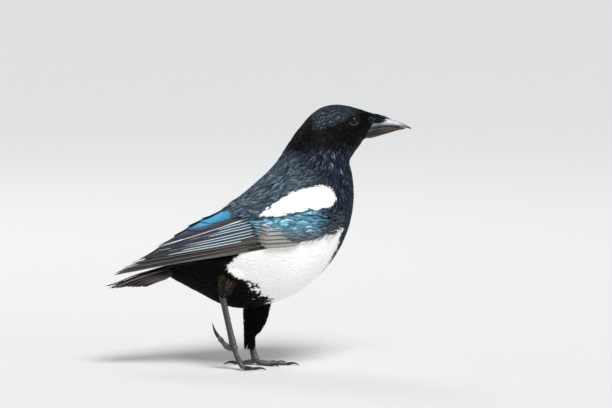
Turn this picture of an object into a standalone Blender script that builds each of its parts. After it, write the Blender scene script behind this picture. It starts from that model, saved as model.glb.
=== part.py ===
"""Eurasian magpie, life size, standing in mid step with its head up.

Metres, +Z up. The bird faces +X and its left is +Y. The origin is under the middle of its box, on the
floor. All sizes below are millimetres, in a frame whose X is 0 under the belly and whose Z is 0 a
little above the floor. The body, neck and head are one run of oval rings, parted by thin gaps. Each folded wing
is a plate in a pocket of the body, with its feathers in tiers, and the tail is a fan of worn feathers.
"""

import math
import random

import bmesh
import bpy
import numpy as np
from mathutils import Vector
from mathutils.bvhtree import BVHTree

MM = 0.001
GAP = 0.3
SEED = 7
FLOOR = -11.0

# Body: top x, top z, low x, low z, half width, narrowing of the lower half, from the tail root to the face
BODY = [
    (-64.0, 83.0, -75.0, 63.5, 9.0, 0.1),
    (-52.0, 93.0, -63.0, 57.0, 17.0, 0.25),
    (-38.0, 106.0, -47.0, 48.5, 26.0, 0.4),
    (-24.0, 120.5, -29.0, 39.5, 33.0, 0.5),
    (-9.0, 133.0, -9.0, 37.0, 37.5, 0.45),
    (4.0, 144.5, 11.0, 41.5, 39.5, 0.3),
    (11.5, 152.5, 29.0, 49.0, 39.5, 0.15),
    (16.5, 159.5, 46.0, 62.0, 38.5, 0.08),
    (20.5, 166.0, 59.0, 77.5, 37.0, 0.05),
    (24.5, 172.0, 67.5, 93.0, 35.0, 0.05),
    (28.5, 178.0, 72.8, 109.0, 31.5, 0.0),
    (33.0, 183.5, 75.0, 127.0, 27.0, 0.0),
    (37.5, 189.0, 73.8, 143.5, 22.8, 0.0),
    (43.0, 194.2, 71.6, 154.5, 19.6, 0.0),
    (50.0, 198.4, 75.0, 161.5, 18.4, 0.0),
    (60.0, 200.4, 79.0, 167.0, 17.4, 0.0),
    (70.0, 199.4, 82.5, 171.5, 15.6, 0.0),
    (79.0, 197.0, 85.5, 173.2, 12.6, 0.0),
    (86.0, 194.7, 88.0, 173.8, 9.8, 0.0),
    (91.5, 192.6, 90.5, 174.4, 7.4, 0.0),
]
BODY_SIDES = 24
BODY_ROUNDNESS = 2.15
NECK_START = 10.0
HEAD_START = 13.0
FACE = len(BODY) - 1.0

# Bill: x, upper z, lower z, half width; the mouth line parts the two halves
CULMEN = [
    (91.5, 191.8, 181.9, 6.3),
    (97.0, 190.6, 182.7, 5.5),
    (104.0, 189.2, 183.0, 4.5),
    (111.0, 187.0, 182.9, 3.3),
    (116.5, 184.3, 182.1, 1.9),
    (120.5, 181.9, 180.9, 0.5),
]
MANDIBLE = [
    (91.5, 181.6, 174.9, 5.9),
    (97.0, 182.4, 175.9, 5.1),
    (104.0, 182.7, 178.0, 4.0),
    (110.0, 182.6, 179.8, 2.7),
    (116.0, 181.9, 181.0, 1.0),
]
BILL_SIDES = 16
GAPE = (81.0, 178.6)
MOUTH_SLOT = 0.4
MOUTH_END = 93.0
MOUTH_REACH = 20
NOSTRIL = (98.0, 187.2, 0.9)
BRISTLE_ANGLES = (-78, -56, -34, -12, 12, 34, 56, 78)
BRISTLE_ROOT_X = 86.0
BRISTLE_LENGTH = 16.0
BRISTLE_HALF_WIDTH = 1.9
BRISTLE_THICKNESS = 0.42
FACE_END = (193.4, 177.0, 7.6)

# Eye: place in side view, radius of the ball, how far its middle lies under the face
EYE_X = 74.4
EYE_Z = 188.4
EYE_RADIUS = 4.4
EYE_SINK = 2.3
LID_RADIUS = 4.0
LID_THICKNESS = 0.8

# Lay of the folded wing: x, skyline z, widest z, half width
WRAP = [
    (-122.0, 67.0, 60.0, 9.0),
    (-105.0, 75.5, 65.0, 13.0),
    (-93.0, 81.5, 69.0, 16.5),
    (-72.0, 96.5, 74.0, 23.0),
    (-56.0, 108.0, 77.0, 29.0),
    (-38.0, 115.0, 79.0, 35.0),
    (-16.0, 130.0, 82.0, 39.5),
    (4.0, 146.0, 85.0, 41.5),
    (20.0, 160.0, 88.0, 41.5),
    (40.0, 172.0, 92.0, 39.0),
    (56.0, 178.0, 97.0, 32.8),
    (70.0, 184.0, 104.0, 22.5),
]
WRAP_ROUNDNESS = 2.2
WRAP_LOW = 60.0
MIDLINE_CLEAR = 3.0

# Arm plate of the wing: x, low z, high z, then its depths under the lay
ARM = [
    (-14.0, 81.8, 119.0),
    (0.0, 85.6, 117.5),
    (12.0, 88.2, 116.0),
    (28.0, 91.0, 116.5),
    (44.0, 94.0, 119.0),
    (56.0, 97.5, 121.0),
    (62.0, 100.0, 121.0),
    (66.0, 103.5, 118.0),
    (68.0, 108.0, 114.0),
]
ARM_OUT = 2.6
ARM_IN = 6.2
ARM_STEPS = 12
ARM_ROWS = 5
# Pocket of the body behind the arm plate, under the flight feathers: x, low z, high z
POCKET_REAR = [
    (-80.0, 58.0, 92.0),
    (-62.0, 65.0, 105.0),
    (-44.0, 71.5, 113.5),
    (-30.0, 75.5, 122.0),
    (-22.0, 78.0, 124.0),
]
POCKET_RIM = 0.45
POCKET_OUT = 18.0

# Feather tiers: roots from the upper to the lower feather, tips the same way
VANE = 0.6
VANE_ROOT = 0.6
VANE_SWELL = 1.6
TIP_FROM = 0.78
TIP_THICKNESS = 0.75
ROOT_DEPTH = 3.7
ROOT_SHARE = 0.3
PRIMARY_TIPS = [(-86, 84), (-97, 78.5), (-106, 73.5), (-113.5, 68.5), (-118, 64.6), (-110, 66), (-98, 69)]
PRIMARIES = dict(count=7, roots=[(0, 93.5), (6, 90)], tips=PRIMARY_TIPS, width=6.4, depth=2.9, sink=0.2,
                 tilt=16, steps=5)
SECONDARIES = dict(count=6, roots=[(-9, 110.5), (-6, 93)], tips=[(-74, 92), (-88, 81)], width=5.4, depth=2.4,
                   sink=0.0, tilt=15, steps=5)
TERTIALS = dict(count=3, roots=[(-9, 115), (-10, 110)], tips=[(-50, 107.5), (-75, 92.5)], width=9.0,
                depth=1.3, sink=-0.15, tilt=10, steps=5)
PRIMARY_COVERTS = dict(count=4, roots=[(26, 97), (29, 92.5)], tips=[(-3, 92), (-1, 87.5)], width=3.2,
                       depth=2.0, sink=0.0, tilt=22, steps=3)
GREATER_COVERTS = dict(count=7, roots=[(22, 113.5), (27, 97.5)], tips=[(-11, 110), (-5, 93)], width=4.3,
                       depth=1.5, sink=0.0, tilt=17, steps=3)
MEDIAN_COVERTS = dict(count=6, roots=[(37, 114.5), (40, 97)], tips=[(19, 111.5), (20, 94)], width=5.0,
                      depth=0.6, sink=0.0, tilt=17, steps=3)
LESSER_COVERTS = [
    dict(count=4, roots=[(50, 115), (52, 100.5)], tips=[(35, 113), (37, 97)], width=7.2, depth=0.3,
         sink=0.0, tilt=12, steps=3),
    dict(count=3, roots=[(62, 115), (63, 104)], tips=[(48, 114), (50, 100.5)], width=8.5, depth=0.2,
         sink=0.0, tilt=10, steps=3),
]
ALULA = dict(count=2, roots=[(53, 100), (54, 97.5)], tips=[(26, 94.5), (30, 91.8)], width=3.6, depth=1.2,
             sink=0.0, tilt=16, steps=3)

# Tail: root, its lean below level, and the twelve feathers from the middle outwards
TAIL_ROOT = (-68.0, 73.5)
TAIL_LEAN = 16.5
TAIL_FEATHERS = 12
TAIL_LENGTHS = [59.0, 55.0, 57.0, 48.0, 52.0, 43.0, 45.0, 37.0, 40.0, 32.0, 34.0, 27.0]
TAIL_WIDTH = 11.0
TAIL_STEP = 0.95
TAIL_SPREAD = 1.9
TAIL_FAN = 1.2
TAIL_PLUG = 19.0
TAIL_SUNK = 9.5
TAIL_WEAR = 2.5
TAIL_NARROWING = 0.35
PLUG_DROP = 2.2
PLUG_HALF_DEPTH = 3.4
PLUG_HALF_WIDTH = 9.5

# Legs: side, thigh rings (x, y, z, half depth, half width), ankle
THIGHS = {
    "right": [
        (-15.0, 20.0, 76.0, 16.0, 12.0),
        (-20.0, 21.5, 68.0, 13.0, 10.5),
        (-24.5, 21.0, 60.0, 10.0, 8.6),
        (-27.6, 19.6, 54.0, 6.4, 6.0),
        (-29.2, 18.6, 50.2, 3.6, 3.6),
    ],
    "left": [
        (-1.0, 17.0, 58.0, 13.5, 11.5),
        (-2.2, 18.2, 47.0, 12.2, 10.5),
        (-2.8, 18.0, 38.0, 10.8, 9.2),
        (-4.2, 17.5, 28.0, 9.6, 7.8),
        (-6.2, 17.0, 20.0, 7.8, 6.4),
        (-8.4, 16.6, 13.4, 4.9, 4.4),
    ],
}
THIGH_SIDES = 14
HEEL_RUN = 1.8
ANKLES = {"right": (-21.4, 17.0, 9.6), "left": (-5.0, 15.5, -3.6)}
TARSUS_RADII = [(0.0, 3.0, 2.6), (0.12, 2.5, 2.1), (0.5, 2.2, 1.8), (0.85, 2.4, 2.0), (1.0, 2.8, 2.6)]
TARSUS_SIDES = 10

# Toes: length without claw, base and tip radius, claw length, heading from straight ahead
TOES = {
    "1": (16.0, 2.3, 1.7, 11.0, 180.0),
    "2": (17.0, 2.0, 1.5, 8.0, -30.0),
    "3": (27.5, 2.1, 1.5, 9.5, 0.0),
    "4": (20.5, 2.0, 1.45, 7.5, 26.0),
}
FOOT_TURN = {"right": -4.0, "left": -6.0}
HUB_REACH = (GAP, 2.8, 4.4)
HUB_RADII = [(2.8, 2.6), (3.2, 3.1), (2.3, 2.3)]
HIND_TOE_RISE = (-0.62, 0.0, 0.78)
TOE_SIDES = 8
CLAW_SIDES = 6
TOE_POINTS = 8
TOE_SLOPE = {"right": 68.0, "left": 42.0}
TOE_END_RUN = 4.5
SOLE = 0.8
# Claws: how far they bend and how far they rise off the toe, on the floor and raised
CLAW_BEND = {False: 62.0, True: 25.0}
CLAW_LIFT = {False: 24.0, True: -5.0}

COLOURS = {
    "black_plumage": ((0.012, 0.014, 0.020), 0.45),
    "wing_plumage": ((0.020, 0.050, 0.075), 0.35),
    "tail_plumage": ((0.045, 0.034, 0.040), 0.40),
    "horn": ((0.030, 0.032, 0.036), 0.30),
    "eye": ((0.012, 0.008, 0.006), 0.05),
    "leg_skin": ((0.030, 0.030, 0.033), 0.45),
}


def material(name):
    """The Principled material of that name, made once."""
    found = bpy.data.materials.get(name)
    if found:
        return found
    made = bpy.data.materials.new(name)
    made.use_nodes = True
    shader = made.node_tree.nodes["Principled BSDF"]
    colour, roughness = COLOURS[name]
    shader.inputs["Base Color"].default_value = (*colour, 1.0)
    shader.inputs["Roughness"].default_value = roughness
    shader.inputs["Metallic"].default_value = 0.0
    return made


def curve(table, at):
    """Read a smooth curve through the rows of table, whose first column rises, at the values in at."""
    table = np.array(table, float)
    keys = table[:, 0]
    values = table[:, 1:]
    slopes = np.gradient(values, keys, axis=0)
    at = np.clip(np.atleast_1d(np.asarray(at, float)), keys[0], keys[-1])
    i = np.clip(np.searchsorted(keys, at) - 1, 0, len(keys) - 2)
    span = (keys[i + 1] - keys[i])[:, None]
    t = (at - keys[i])[:, None] / span
    start = values[i] * (2 * t**3 - 3 * t**2 + 1) + slopes[i] * span * (t**3 - 2 * t**2 + t)
    end = values[i + 1] * (3 * t**2 - 2 * t**3) + slopes[i + 1] * span * (t**3 - t**2)
    return start + end


def unit(v):
    return v / np.linalg.norm(v)


def mesh_object(name, points, faces, slot):
    """A mesh object from points in millimetres."""
    mesh = bpy.data.meshes.new(name)
    mesh.from_pydata([tuple(p) for p in np.asarray(points) * MM], [], faces)
    mesh.materials.append(material(slot))
    mesh.validate()
    made = bpy.data.objects.new(name, mesh)
    bpy.context.scene.collection.objects.link(made)
    return made


def face_outwards(made):
    """Turn every face of a closed mesh outwards, and split it into triangles."""
    work = bmesh.new()
    work.from_mesh(made.data)
    bmesh.ops.recalc_face_normals(work, faces=work.faces)
    if work.calc_volume(signed=True) < 0:
        bmesh.ops.reverse_faces(work, faces=work.faces)
    bmesh.ops.triangulate(work, faces=work.faces)
    work.to_mesh(made.data)
    work.free()
    return made


def loft(name, rings, slot, even=False):
    """A closed body through rings of equal count, capped flat at both ends."""
    rings = [np.asarray(r, float) for r in rings]
    count = len(rings[0])
    points = np.concatenate(rings)
    faces = []
    for i in range(len(rings) - 1):
        for j in range(count):
            a, b = i * count + j, i * count + (j + 1) % count
            c, d = b + count, a + count
            turned = even and (j < count // 2)
            faces += [(a, b, d), (b, c, d)] if turned else [(a, b, c), (a, c, d)]
    last = (len(rings) - 1) * count
    faces.append(tuple(range(count))[::-1])
    faces.append(tuple(range(last, last + count)))
    return face_outwards(mesh_object(name, points, faces, slot))


def apply_boolean(target, tools, operation, solver="EXACT"):
    """Join or cut target with the tool objects, then remove them and keep the largest closed surface."""
    group = bpy.data.collections.new("tools")
    bpy.context.scene.collection.children.link(group)
    for tool in tools:
        group.objects.link(tool)
    modifier = target.modifiers.new("join", "BOOLEAN")
    modifier.operand_type = "COLLECTION"
    modifier.collection = group
    modifier.operation = operation
    modifier.solver = solver
    graph = bpy.context.evaluated_depsgraph_get()
    mesh = bpy.data.meshes.new_from_object(target.evaluated_get(graph))
    target.modifiers.clear()
    old = target.data
    target.data = mesh
    bpy.data.meshes.remove(old)
    for tool in tools:
        bpy.data.objects.remove(tool)
    bpy.data.collections.remove(group)
    keep_largest(target)
    return target


def keep_largest(made):
    """Keep only the connected surface with the most faces, split into triangles."""
    work = bmesh.new()
    work.from_mesh(made.data)
    bmesh.ops.triangulate(work, faces=work.faces)
    left = set(work.faces)
    surfaces = []
    while left:
        stack = [left.pop()]
        surface = []
        while stack:
            face = stack.pop()
            surface.append(face)
            for edge in face.edges:
                for other in edge.link_faces:
                    if other in left:
                        left.discard(other)
                        stack.append(other)
        surfaces.append(surface)
    surfaces.sort(key=len)
    scrap = [face for surface in surfaces[:-1] for face in surface]
    bmesh.ops.delete(work, geom=scrap, context="FACES")
    work.to_mesh(made.data)
    work.free()


def mirrored(made, name):
    """A copy on the other side of the bird."""
    copy = bpy.data.objects.new(name, made.data.copy())
    bpy.context.scene.collection.objects.link(copy)
    for vertex in copy.data.vertices:
        vertex.co.y = -vertex.co.y
    copy.data.flip_normals()
    return copy


def body_ring(station, shift=0.0, grow=0.0):
    """The oval ring at a place along BODY, moved along the spine by shift."""
    table = [(i, *row) for i, row in enumerate(BODY)]
    top_x, top_z, low_x, low_z, half, keel = curve(table, station)[0]
    up = np.array([top_x - low_x, 0.0, top_z - low_z]) / 2
    middle = np.array([top_x + low_x, 0.0, top_z + low_z]) / 2
    ahead = np.array([up[2], 0.0, -up[0]]) / np.linalg.norm(up)
    turn = np.linspace(0, 2 * np.pi, BODY_SIDES, endpoint=False)
    power = 2 / BODY_ROUNDNESS
    rise = np.sign(np.cos(turn)) * np.abs(np.cos(turn)) ** power
    side = np.sign(np.sin(turn)) * np.abs(np.sin(turn)) ** power
    up = up * (1 + grow / np.linalg.norm(up))
    ring = middle + rise[:, None] * up + ahead * shift
    ring[:, 1] = (half + grow) * side * (1 - keel * np.maximum(-rise, 0))
    return ring


def body_length(name, start, end, count, slot, grow=0.0):
    """One length of the body, GAP short of its neighbours."""
    places = np.linspace(start, end, count)
    shifts = [0.0] * count
    shifts[0] = GAP / 2
    shifts[-1] = -GAP / 2
    rings = [body_ring(p, s, grow) for p, s in zip(places, shifts)]
    return loft(name, rings, slot)


def surface_tree(made):
    """A search tree over an object's mesh, in millimetres."""
    points = [v.co / MM for v in made.data.vertices]
    return BVHTree.FromPolygons(points, [p.vertices[:] for p in made.data.polygons])


def side_of(tree, x, z):
    """How far out the surface lies at a place in side view."""
    hit = tree.ray_cast(Vector((x, 200.0, z)), Vector((0.0, -1.0, 0.0)))
    return hit[0].y


def wrap_turn(x, z):
    """The angle from the midline that brings the lay of the wing to height z."""
    top, middle, half = curve(WRAP, x)[0]
    if z >= middle:
        lift = min((z - middle) / (top - middle), 1.0)
        turn = math.acos(lift ** (WRAP_ROUNDNESS / 2))
        least = math.asin(min(MIDLINE_CLEAR / half, 1.0) ** (WRAP_ROUNDNESS / 2))
        return max(turn, least)
    return math.acos(max((z - middle) / WRAP_LOW, -1.0))


def wrap_point(x, turn):
    """A point on the lay of the folded left wing."""
    top, middle, half = curve(WRAP, x)[0]
    power = 2 / WRAP_ROUNDNESS
    if turn <= math.pi / 2:
        y = half * math.sin(turn) ** power
        z = middle + (top - middle) * max(math.cos(turn), 0.0) ** power
    else:
        y = half * math.sin(turn)
        z = middle + WRAP_LOW * math.cos(turn)
    return np.array([x, y, z])


def wrap_frame(x, turn):
    """A point on the lay and the direction out of it."""
    small = 0.02
    here = wrap_point(x, turn)
    along = wrap_point(x + 0.5, turn) - wrap_point(x - 0.5, turn)
    across = wrap_point(x, turn + small) - wrap_point(x, turn - small)
    return here, unit(np.cross(along, across))


def plate_ring(x, low, high, out, inner, rows):
    """A slice of a plate that follows the lay of the wing, between two depths under it."""
    turns = np.linspace(wrap_turn(x, low), wrap_turn(x, high), rows)
    frames = [wrap_frame(x, turn) for turn in turns]
    outer = [p - n * out for p, n in frames]
    deep = [p - n * inner for p, n in frames]
    for ring in (outer, deep):
        for p in ring:
            p[0] = x
    return np.array(outer + deep[::-1])


def arm_slices(rim, out, inner):
    """Slices of the folded arm, grown by rim at its edges, between two depths under the lay."""
    rings = []
    for x in np.linspace(ARM[0][0], ARM[-1][0], ARM_STEPS):
        low, high = curve(ARM, x)[0]
        rings.append(plate_ring(x, low - rim, high + rim, out, inner, ARM_ROWS))
    return rings


def pocket(name):
    """The space in the body that one folded wing lies in, GAP wider than the arm all round."""
    inner = ARM_IN + GAP
    rings = [plate_ring(x, low, high, -POCKET_OUT, inner, ARM_ROWS) for x, low, high in POCKET_REAR]
    rings += arm_slices(POCKET_RIM, -POCKET_OUT, inner)
    front = rings[-1] + np.array([GAP, 0.0, 0.0])
    return loft(name, rings + [front], "black_plumage")


def vane(name, root, tip, width, depth, tilt, steps, slot, bow=0.0, point=0.35):
    """One flat feather on the lay of the wing, its lower edge raised, thin at the tip."""
    root = np.array(root, float)
    tip = np.array(tip, float)
    run = tip - root
    across = np.array([-run[1], run[0]]) / np.linalg.norm(run)
    frames = []
    for t in np.linspace(0, 1, steps + 1):
        x, z = root + run * t + across * bow * math.sin(math.pi * t)
        frames.append(wrap_frame(x, wrap_turn(x, z)))
    places = np.array([p for p, n in frames])
    rings = []
    for k, t in enumerate(np.linspace(0, 1, steps + 1)):
        here, out = frames[k]
        along = unit(places[min(k + 1, steps)] - places[max(k - 1, 0)])
        edge = unit(np.cross(along, out))
        if edge[2] > 0:
            edge = -edge
        lean = math.radians(tilt)
        edge_leaned = edge * math.cos(lean) + out * math.sin(lean)
        face = out * math.cos(lean) - edge * math.sin(lean)
        swell = min(1.0, VANE_ROOT + VANE_SWELL * t)
        end = max(t - TIP_FROM, 0.0) / (1 - TIP_FROM)
        taper = math.sqrt(max(1 - end**2 * (1 - point**2), 0))
        half = width / 2 * swell * taper
        thick = VANE / 2 * (1.0 if t < 0.9 else TIP_THICKNESS)
        middle = here - out * (depth + (ROOT_DEPTH - depth) * max(1 - t / ROOT_SHARE, 0.0))
        rings.append(
            [
                middle - edge_leaned * half + face * thick,
                middle + edge_leaned * half + face * thick,
                middle + edge_leaned * half - face * thick,
                middle - edge_leaned * half - face * thick,
            ]
        )
    return loft(name, rings, slot, even=True)


def tier(name, count, roots, tips, width, depth, sink, tilt, steps, slot, draw):
    """A tier of feathers from the uppermost to the lowest, each slightly its own."""
    made = []
    tip_keys = [(i / (len(tips) - 1), *p) for i, p in enumerate(tips)]
    root_keys = [(i / (len(roots) - 1), *p) for i, p in enumerate(roots)]
    for i in range(count):
        t = i / (count - 1)
        root = curve(root_keys, t)[0]
        tip = curve(tip_keys, t)[0] + np.array([draw.uniform(-0.6, 0.6), draw.uniform(-0.2, 0.2)])
        made.append(
            vane(f"{name}_{i}", root, tip, width, depth + sink * i, tilt, steps, slot,
                 bow=draw.uniform(-0.2, 0.2))
        )
    return made


def make_wing():
    """The left wing, folded: the arm plate with its tiers of feathers fused to it."""
    draw = random.Random(SEED)
    arm = loft("wing_left", arm_slices(0.0, ARM_OUT, ARM_IN), "wing_plumage")
    feathers = []
    for name, sizes in (
        ("primary", PRIMARIES),
        ("secondary", SECONDARIES),
        ("tertial", TERTIALS),
        ("primary_covert", PRIMARY_COVERTS),
        ("greater_covert", GREATER_COVERTS),
        ("median_covert", MEDIAN_COVERTS),
        ("alula", ALULA),
    ):
        feathers += tier(name, slot="wing_plumage", draw=draw, **sizes)
    for row, sizes in enumerate(LESSER_COVERTS):
        feathers += tier(f"lesser_{row}", slot="wing_plumage", draw=draw, **sizes)
    return apply_boolean(arm, feathers, "UNION", "MANIFOLD")


def tail_vane(name, root, heading, length, width, lean, ragged):
    """One tail feather: a long flat vane with a worn end."""
    along = np.array(
        [-math.cos(lean) * math.cos(heading), math.cos(lean) * math.sin(heading), -math.sin(lean)]
    )
    level = unit(np.cross(np.array([0.0, 0.0, 1.0]), along))
    face = unit(np.cross(along, level))
    rings = []
    steps = 5
    for k in range(steps + 1):
        t = k / steps
        half = width / 2 * min(1.0, 0.55 + 1.2 * t)
        thick = VANE / 2
        middle = np.array(root) + along * length * t
        left, right = middle - level * half, middle + level * half
        if k == steps:
            left = left + along * ragged + level * half * TAIL_NARROWING
            right = right - along * ragged - level * half * TAIL_NARROWING
        rings.append([left + face * thick, right + face * thick, right - face * thick, left - face * thick])
    return loft(name, rings, "tail_plumage", even=True)


def make_tail():
    """The tail: a plug that meets the body, with twelve worn feathers in pairs, the middle pair on top."""
    draw = random.Random(SEED)
    lean = math.radians(TAIL_LEAN)
    first = body_ring(0.0, -GAP / 2)
    middle = first.mean(0)
    rings = [first]
    back = np.array([-math.cos(lean), 0.0, -math.sin(lean)])
    rise = np.array([-math.sin(lean), 0.0, math.cos(lean)])
    flat_middle = np.array([TAIL_ROOT[0], 0.0, TAIL_ROOT[1]]) + back * TAIL_PLUG - rise * PLUG_DROP
    turn = np.linspace(0, 2 * np.pi, BODY_SIDES, endpoint=False)
    flat = flat_middle + np.cos(turn)[:, None] * rise * PLUG_HALF_DEPTH
    flat[:, 1] = np.sin(turn) * PLUG_HALF_WIDTH
    for t in (0.35, 0.7, 1.0):
        rings.append(first * (1 - t) + flat * t)
    plug = loft("tail", rings, "tail_plumage")
    start = np.array([TAIL_ROOT[0], 0.0, TAIL_ROOT[1]]) + back * TAIL_SUNK
    feathers = []
    for i in range(TAIL_FEATHERS):
        pair = i // 2
        side = 1 if i % 2 else -1
        level = pair * TAIL_STEP + (0.0 if i == 0 else TAIL_STEP)
        width = TAIL_WIDTH
        aside = side * (0.3 + pair * TAIL_SPREAD)
        if pair:
            aside = side * (GAP + 0.2 + width / 2 + (pair - 1) * TAIL_SPREAD * 0.5)
        heading = math.radians(side * (pair * TAIL_FAN))
        root = start - rise * level + np.array([0.0, aside, 0.0])
        feathers.append(
            tail_vane(f"rectrix_{i}", root, heading, TAIL_LENGTHS[i] - TAIL_SUNK, width, lean,
                      draw.uniform(-TAIL_WEAR, TAIL_WEAR))
        )
    return apply_boolean(plug, feathers, "UNION")


def bill_ring(x, top, low, half, upper):
    """A slice of one half of the bill: flat at the mouth, round outside."""
    turn = np.linspace(0, np.pi, BILL_SIDES - 3)
    arch = np.sin(turn) ** 0.85
    side = np.cos(turn)
    if upper:
        z = low + (top - low) * arch
    else:
        z = top - (top - low) * arch
    y = half * side
    return np.stack([np.full_like(y, x), y, z], 1)


def bill_half(name, table, upper, start, grow=0.0):
    """One half of the bill, from the face to its tip."""
    rings = []
    for x in np.linspace(start, table[-1][0], 9):
        top, low, half = curve(table, x)[0]
        rings.append(bill_ring(x, top + grow, low - grow, half + grow, upper))
    return loft(name, rings, "horn")


def ball(name, middle, radius, slot, rings=10, sides=14, squash=(1.0, 1.0, 1.0)):
    """A closed ball of rings about the Y axis."""
    points = [np.array([0.0, -1.0, 0.0])]
    for i in range(1, rings):
        tilt = math.pi * i / rings
        for j in range(sides):
            turn = 2 * math.pi * j / sides
            points.append(
                np.array([math.sin(tilt) * math.cos(turn), -math.cos(tilt), math.sin(tilt) * math.sin(turn)])
            )
    points.append(np.array([0.0, 1.0, 0.0]))
    faces = []
    for j in range(sides):
        k = (j + 1) % sides
        faces.append((0, 1 + j, 1 + k))
        last = 1 + (rings - 2) * sides
        faces.append((len(points) - 1, last + k, last + j))
        for i in range(rings - 2):
            a, b = 1 + i * sides + j, 1 + i * sides + k
            faces += [(a, a + sides, b + sides), (a, b + sides, b)]
    placed = np.array(points) * radius * np.array(squash) + np.array(middle)
    return face_outwards(mesh_object(name, placed, faces, slot))


def lid_ring(name, middle, radius, thickness):
    """The rim of the lids round one eye."""
    sides, section = 16, 5
    points = []
    for j in range(sides):
        turn = 2 * math.pi * j / sides
        out = np.array([math.cos(turn), 0.0, math.sin(turn)])
        for k in range(section):
            roll = 2 * math.pi * k / section
            points.append(
                np.array(middle) + out * (radius + thickness * math.cos(roll))
                + np.array([0.0, thickness * math.sin(roll), 0.0])
            )
    faces = []
    for j in range(sides):
        for k in range(section):
            a = j * section + k
            b = j * section + (k + 1) % section
            c = ((j + 1) % sides) * section + (k + 1) % section
            d = ((j + 1) % sides) * section + k
            faces.append((a, b, c, d))
    return face_outwards(mesh_object(name, points, faces, "black_plumage"))


def make_bill():
    """Both halves of the bill, the upper one with its nostrils."""
    start = BODY[-1][0] + GAP
    upper = bill_half("bill_upper", CULMEN, True, start)
    x, z, radius = NOSTRIL
    half = curve(CULMEN, x)[0][2]
    pits = [
        ball(f"nostril_{side}", (x, side * half * 0.86, z), radius, "horn", 6, 10, (1.6, 1.0, 0.8))
        for side in (-1, 1)
    ]
    apply_boolean(upper, pits, "DIFFERENCE")
    lower = bill_half("bill_lower", MANDIBLE, False, start)
    return upper, lower


def bristle(name, angle):
    """A flat, tapered lock of nasal bristles that lies forward over the root of the bill."""
    turn = math.radians(angle)
    rings = []
    steps = 4
    for k in range(steps + 1):
        t = k / steps
        x = BRISTLE_ROOT_X + BRISTLE_LENGTH * t * math.cos(turn * 0.35)
        if x < BODY[-1][0]:
            top, low, half = FACE_END
        else:
            top, low, half = curve(CULMEN, x)[0]
        lift = -0.6 + 2.0 * min(t * 2.2, 1.0) - 0.5 * t
        out = np.array([0.0, math.sin(turn), math.cos(turn)])
        base = low + (top - low) * 0.35
        place = np.array([x, math.sin(turn) * half, base + (top - base) * math.cos(turn)]) + out * lift
        edge = np.array([0.0, math.cos(turn), -math.sin(turn)])
        wide = BRISTLE_HALF_WIDTH * (1 - 0.8 * t)
        thick = BRISTLE_THICKNESS * (1 - 0.4 * t)
        rings.append(
            [
                place - edge * wide + out * thick * 0.4,
                place + out * thick * 1.5,
                place + edge * wide + out * thick * 0.4,
                place + edge * wide - out * thick,
                place - edge * wide - out * thick,
            ]
        )
    return loft(name, rings, "black_plumage")


def make_head():
    """The head with its lids, eye sockets, mouth line and nasal bristles, and the two eyes."""
    head = body_length("head", HEAD_START, FACE, 14, "black_plumage")
    out = side_of(surface_tree(head), EYE_X, EYE_Z)
    tools = [bristle(f"bristle_{i}", angle) for i, angle in enumerate(BRISTLE_ANGLES)]
    for side in (-1, 1):
        tools.append(lid_ring(f"lid_{side}", (EYE_X, side * (out - 0.1), EYE_Z), LID_RADIUS, LID_THICKNESS))
    apply_boolean(head, tools, "UNION")
    cuts = []
    eyes = []
    for side, name in ((-1, "eye_right"), (1, "eye_left")):
        middle = (EYE_X, side * (out - EYE_SINK), EYE_Z)
        cuts.append(ball(f"socket_{side}", middle, EYE_RADIUS + GAP, "black_plumage"))
        eyes.append(ball(name, middle, EYE_RADIUS, "eye"))
    mouth = [GAPE, (MOUTH_END, curve(MANDIBLE, MOUTH_END)[0][0] + GAP / 2)]
    rings = [
        [(x, -MOUTH_REACH, z - MOUTH_SLOT / 2), (x, MOUTH_REACH, z - MOUTH_SLOT / 2),
         (x, MOUTH_REACH, z + MOUTH_SLOT / 2), (x, -MOUTH_REACH, z + MOUTH_SLOT / 2)]
        for x, z in mouth
    ]
    cuts.append(loft("mouth", rings, "black_plumage"))
    start = BODY[-1][0]
    cuts.append(bill_half("bill_room", CULMEN, True, start + 0.02, grow=GAP + 0.1))
    apply_boolean(head, cuts, "DIFFERENCE")
    return head, eyes


def tube(name, path, radii, slot, sides, up=(0.0, 1.0, 0.0), floor=None):
    """A body along a path, with a half depth and a half width at each point of it."""
    path = [np.array(p, float) for p in path]
    rings = []
    for k, here in enumerate(path):
        along = unit(path[min(k + 1, len(path) - 1)] - path[max(k - 1, 0)])
        side = unit(np.array(up) - along * np.dot(up, along))
        deep = np.cross(along, side)
        turn = np.linspace(0, 2 * np.pi, sides, endpoint=False)
        ring = here + np.cos(turn)[:, None] * deep * radii[k][0] + np.sin(turn)[:, None] * side * radii[k][1]
        if floor is not None:
            ring[:, 2] = np.maximum(ring[:, 2], floor)
        rings.append(ring)
    return loft(name, rings, slot)


def make_leg(side):
    """One leg: the feathered thigh, which is returned, with the tarsus, the foot and four claws."""
    sign = 1 if side == "left" else -1
    table = [(i, *row) for i, row in enumerate(THIGHS[side])]
    places = np.linspace(0, len(table) - 1, 10)
    rows = curve(table, places)
    path = [(x, sign * y, z) for x, y, z, deep, wide in rows]
    thigh = tube(f"thigh_{side}", path, rows[:, 3:], "black_plumage", THIGH_SIDES)
    end = np.array(path[-1])
    ankle = np.array([ANKLES[side][0], sign * ANKLES[side][1], ANKLES[side][2]])
    last = unit(end - np.array(path[-2]))
    start = end + last * GAP
    share = np.linspace(0, 1, 9)
    bend = start + last * HEEL_RUN
    shin_path = [start, bend] + [bend + (ankle - bend) * t for t in share[1:]]
    shin_radii = curve(TARSUS_RADII, np.linspace(0, 1, len(shin_path)))
    tube(f"tarsus_{side}", shin_path, shin_radii, "leg_skin", TARSUS_SIDES)
    make_foot(side, sign, ankle, unit(ankle - bend))
    return thigh


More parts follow.
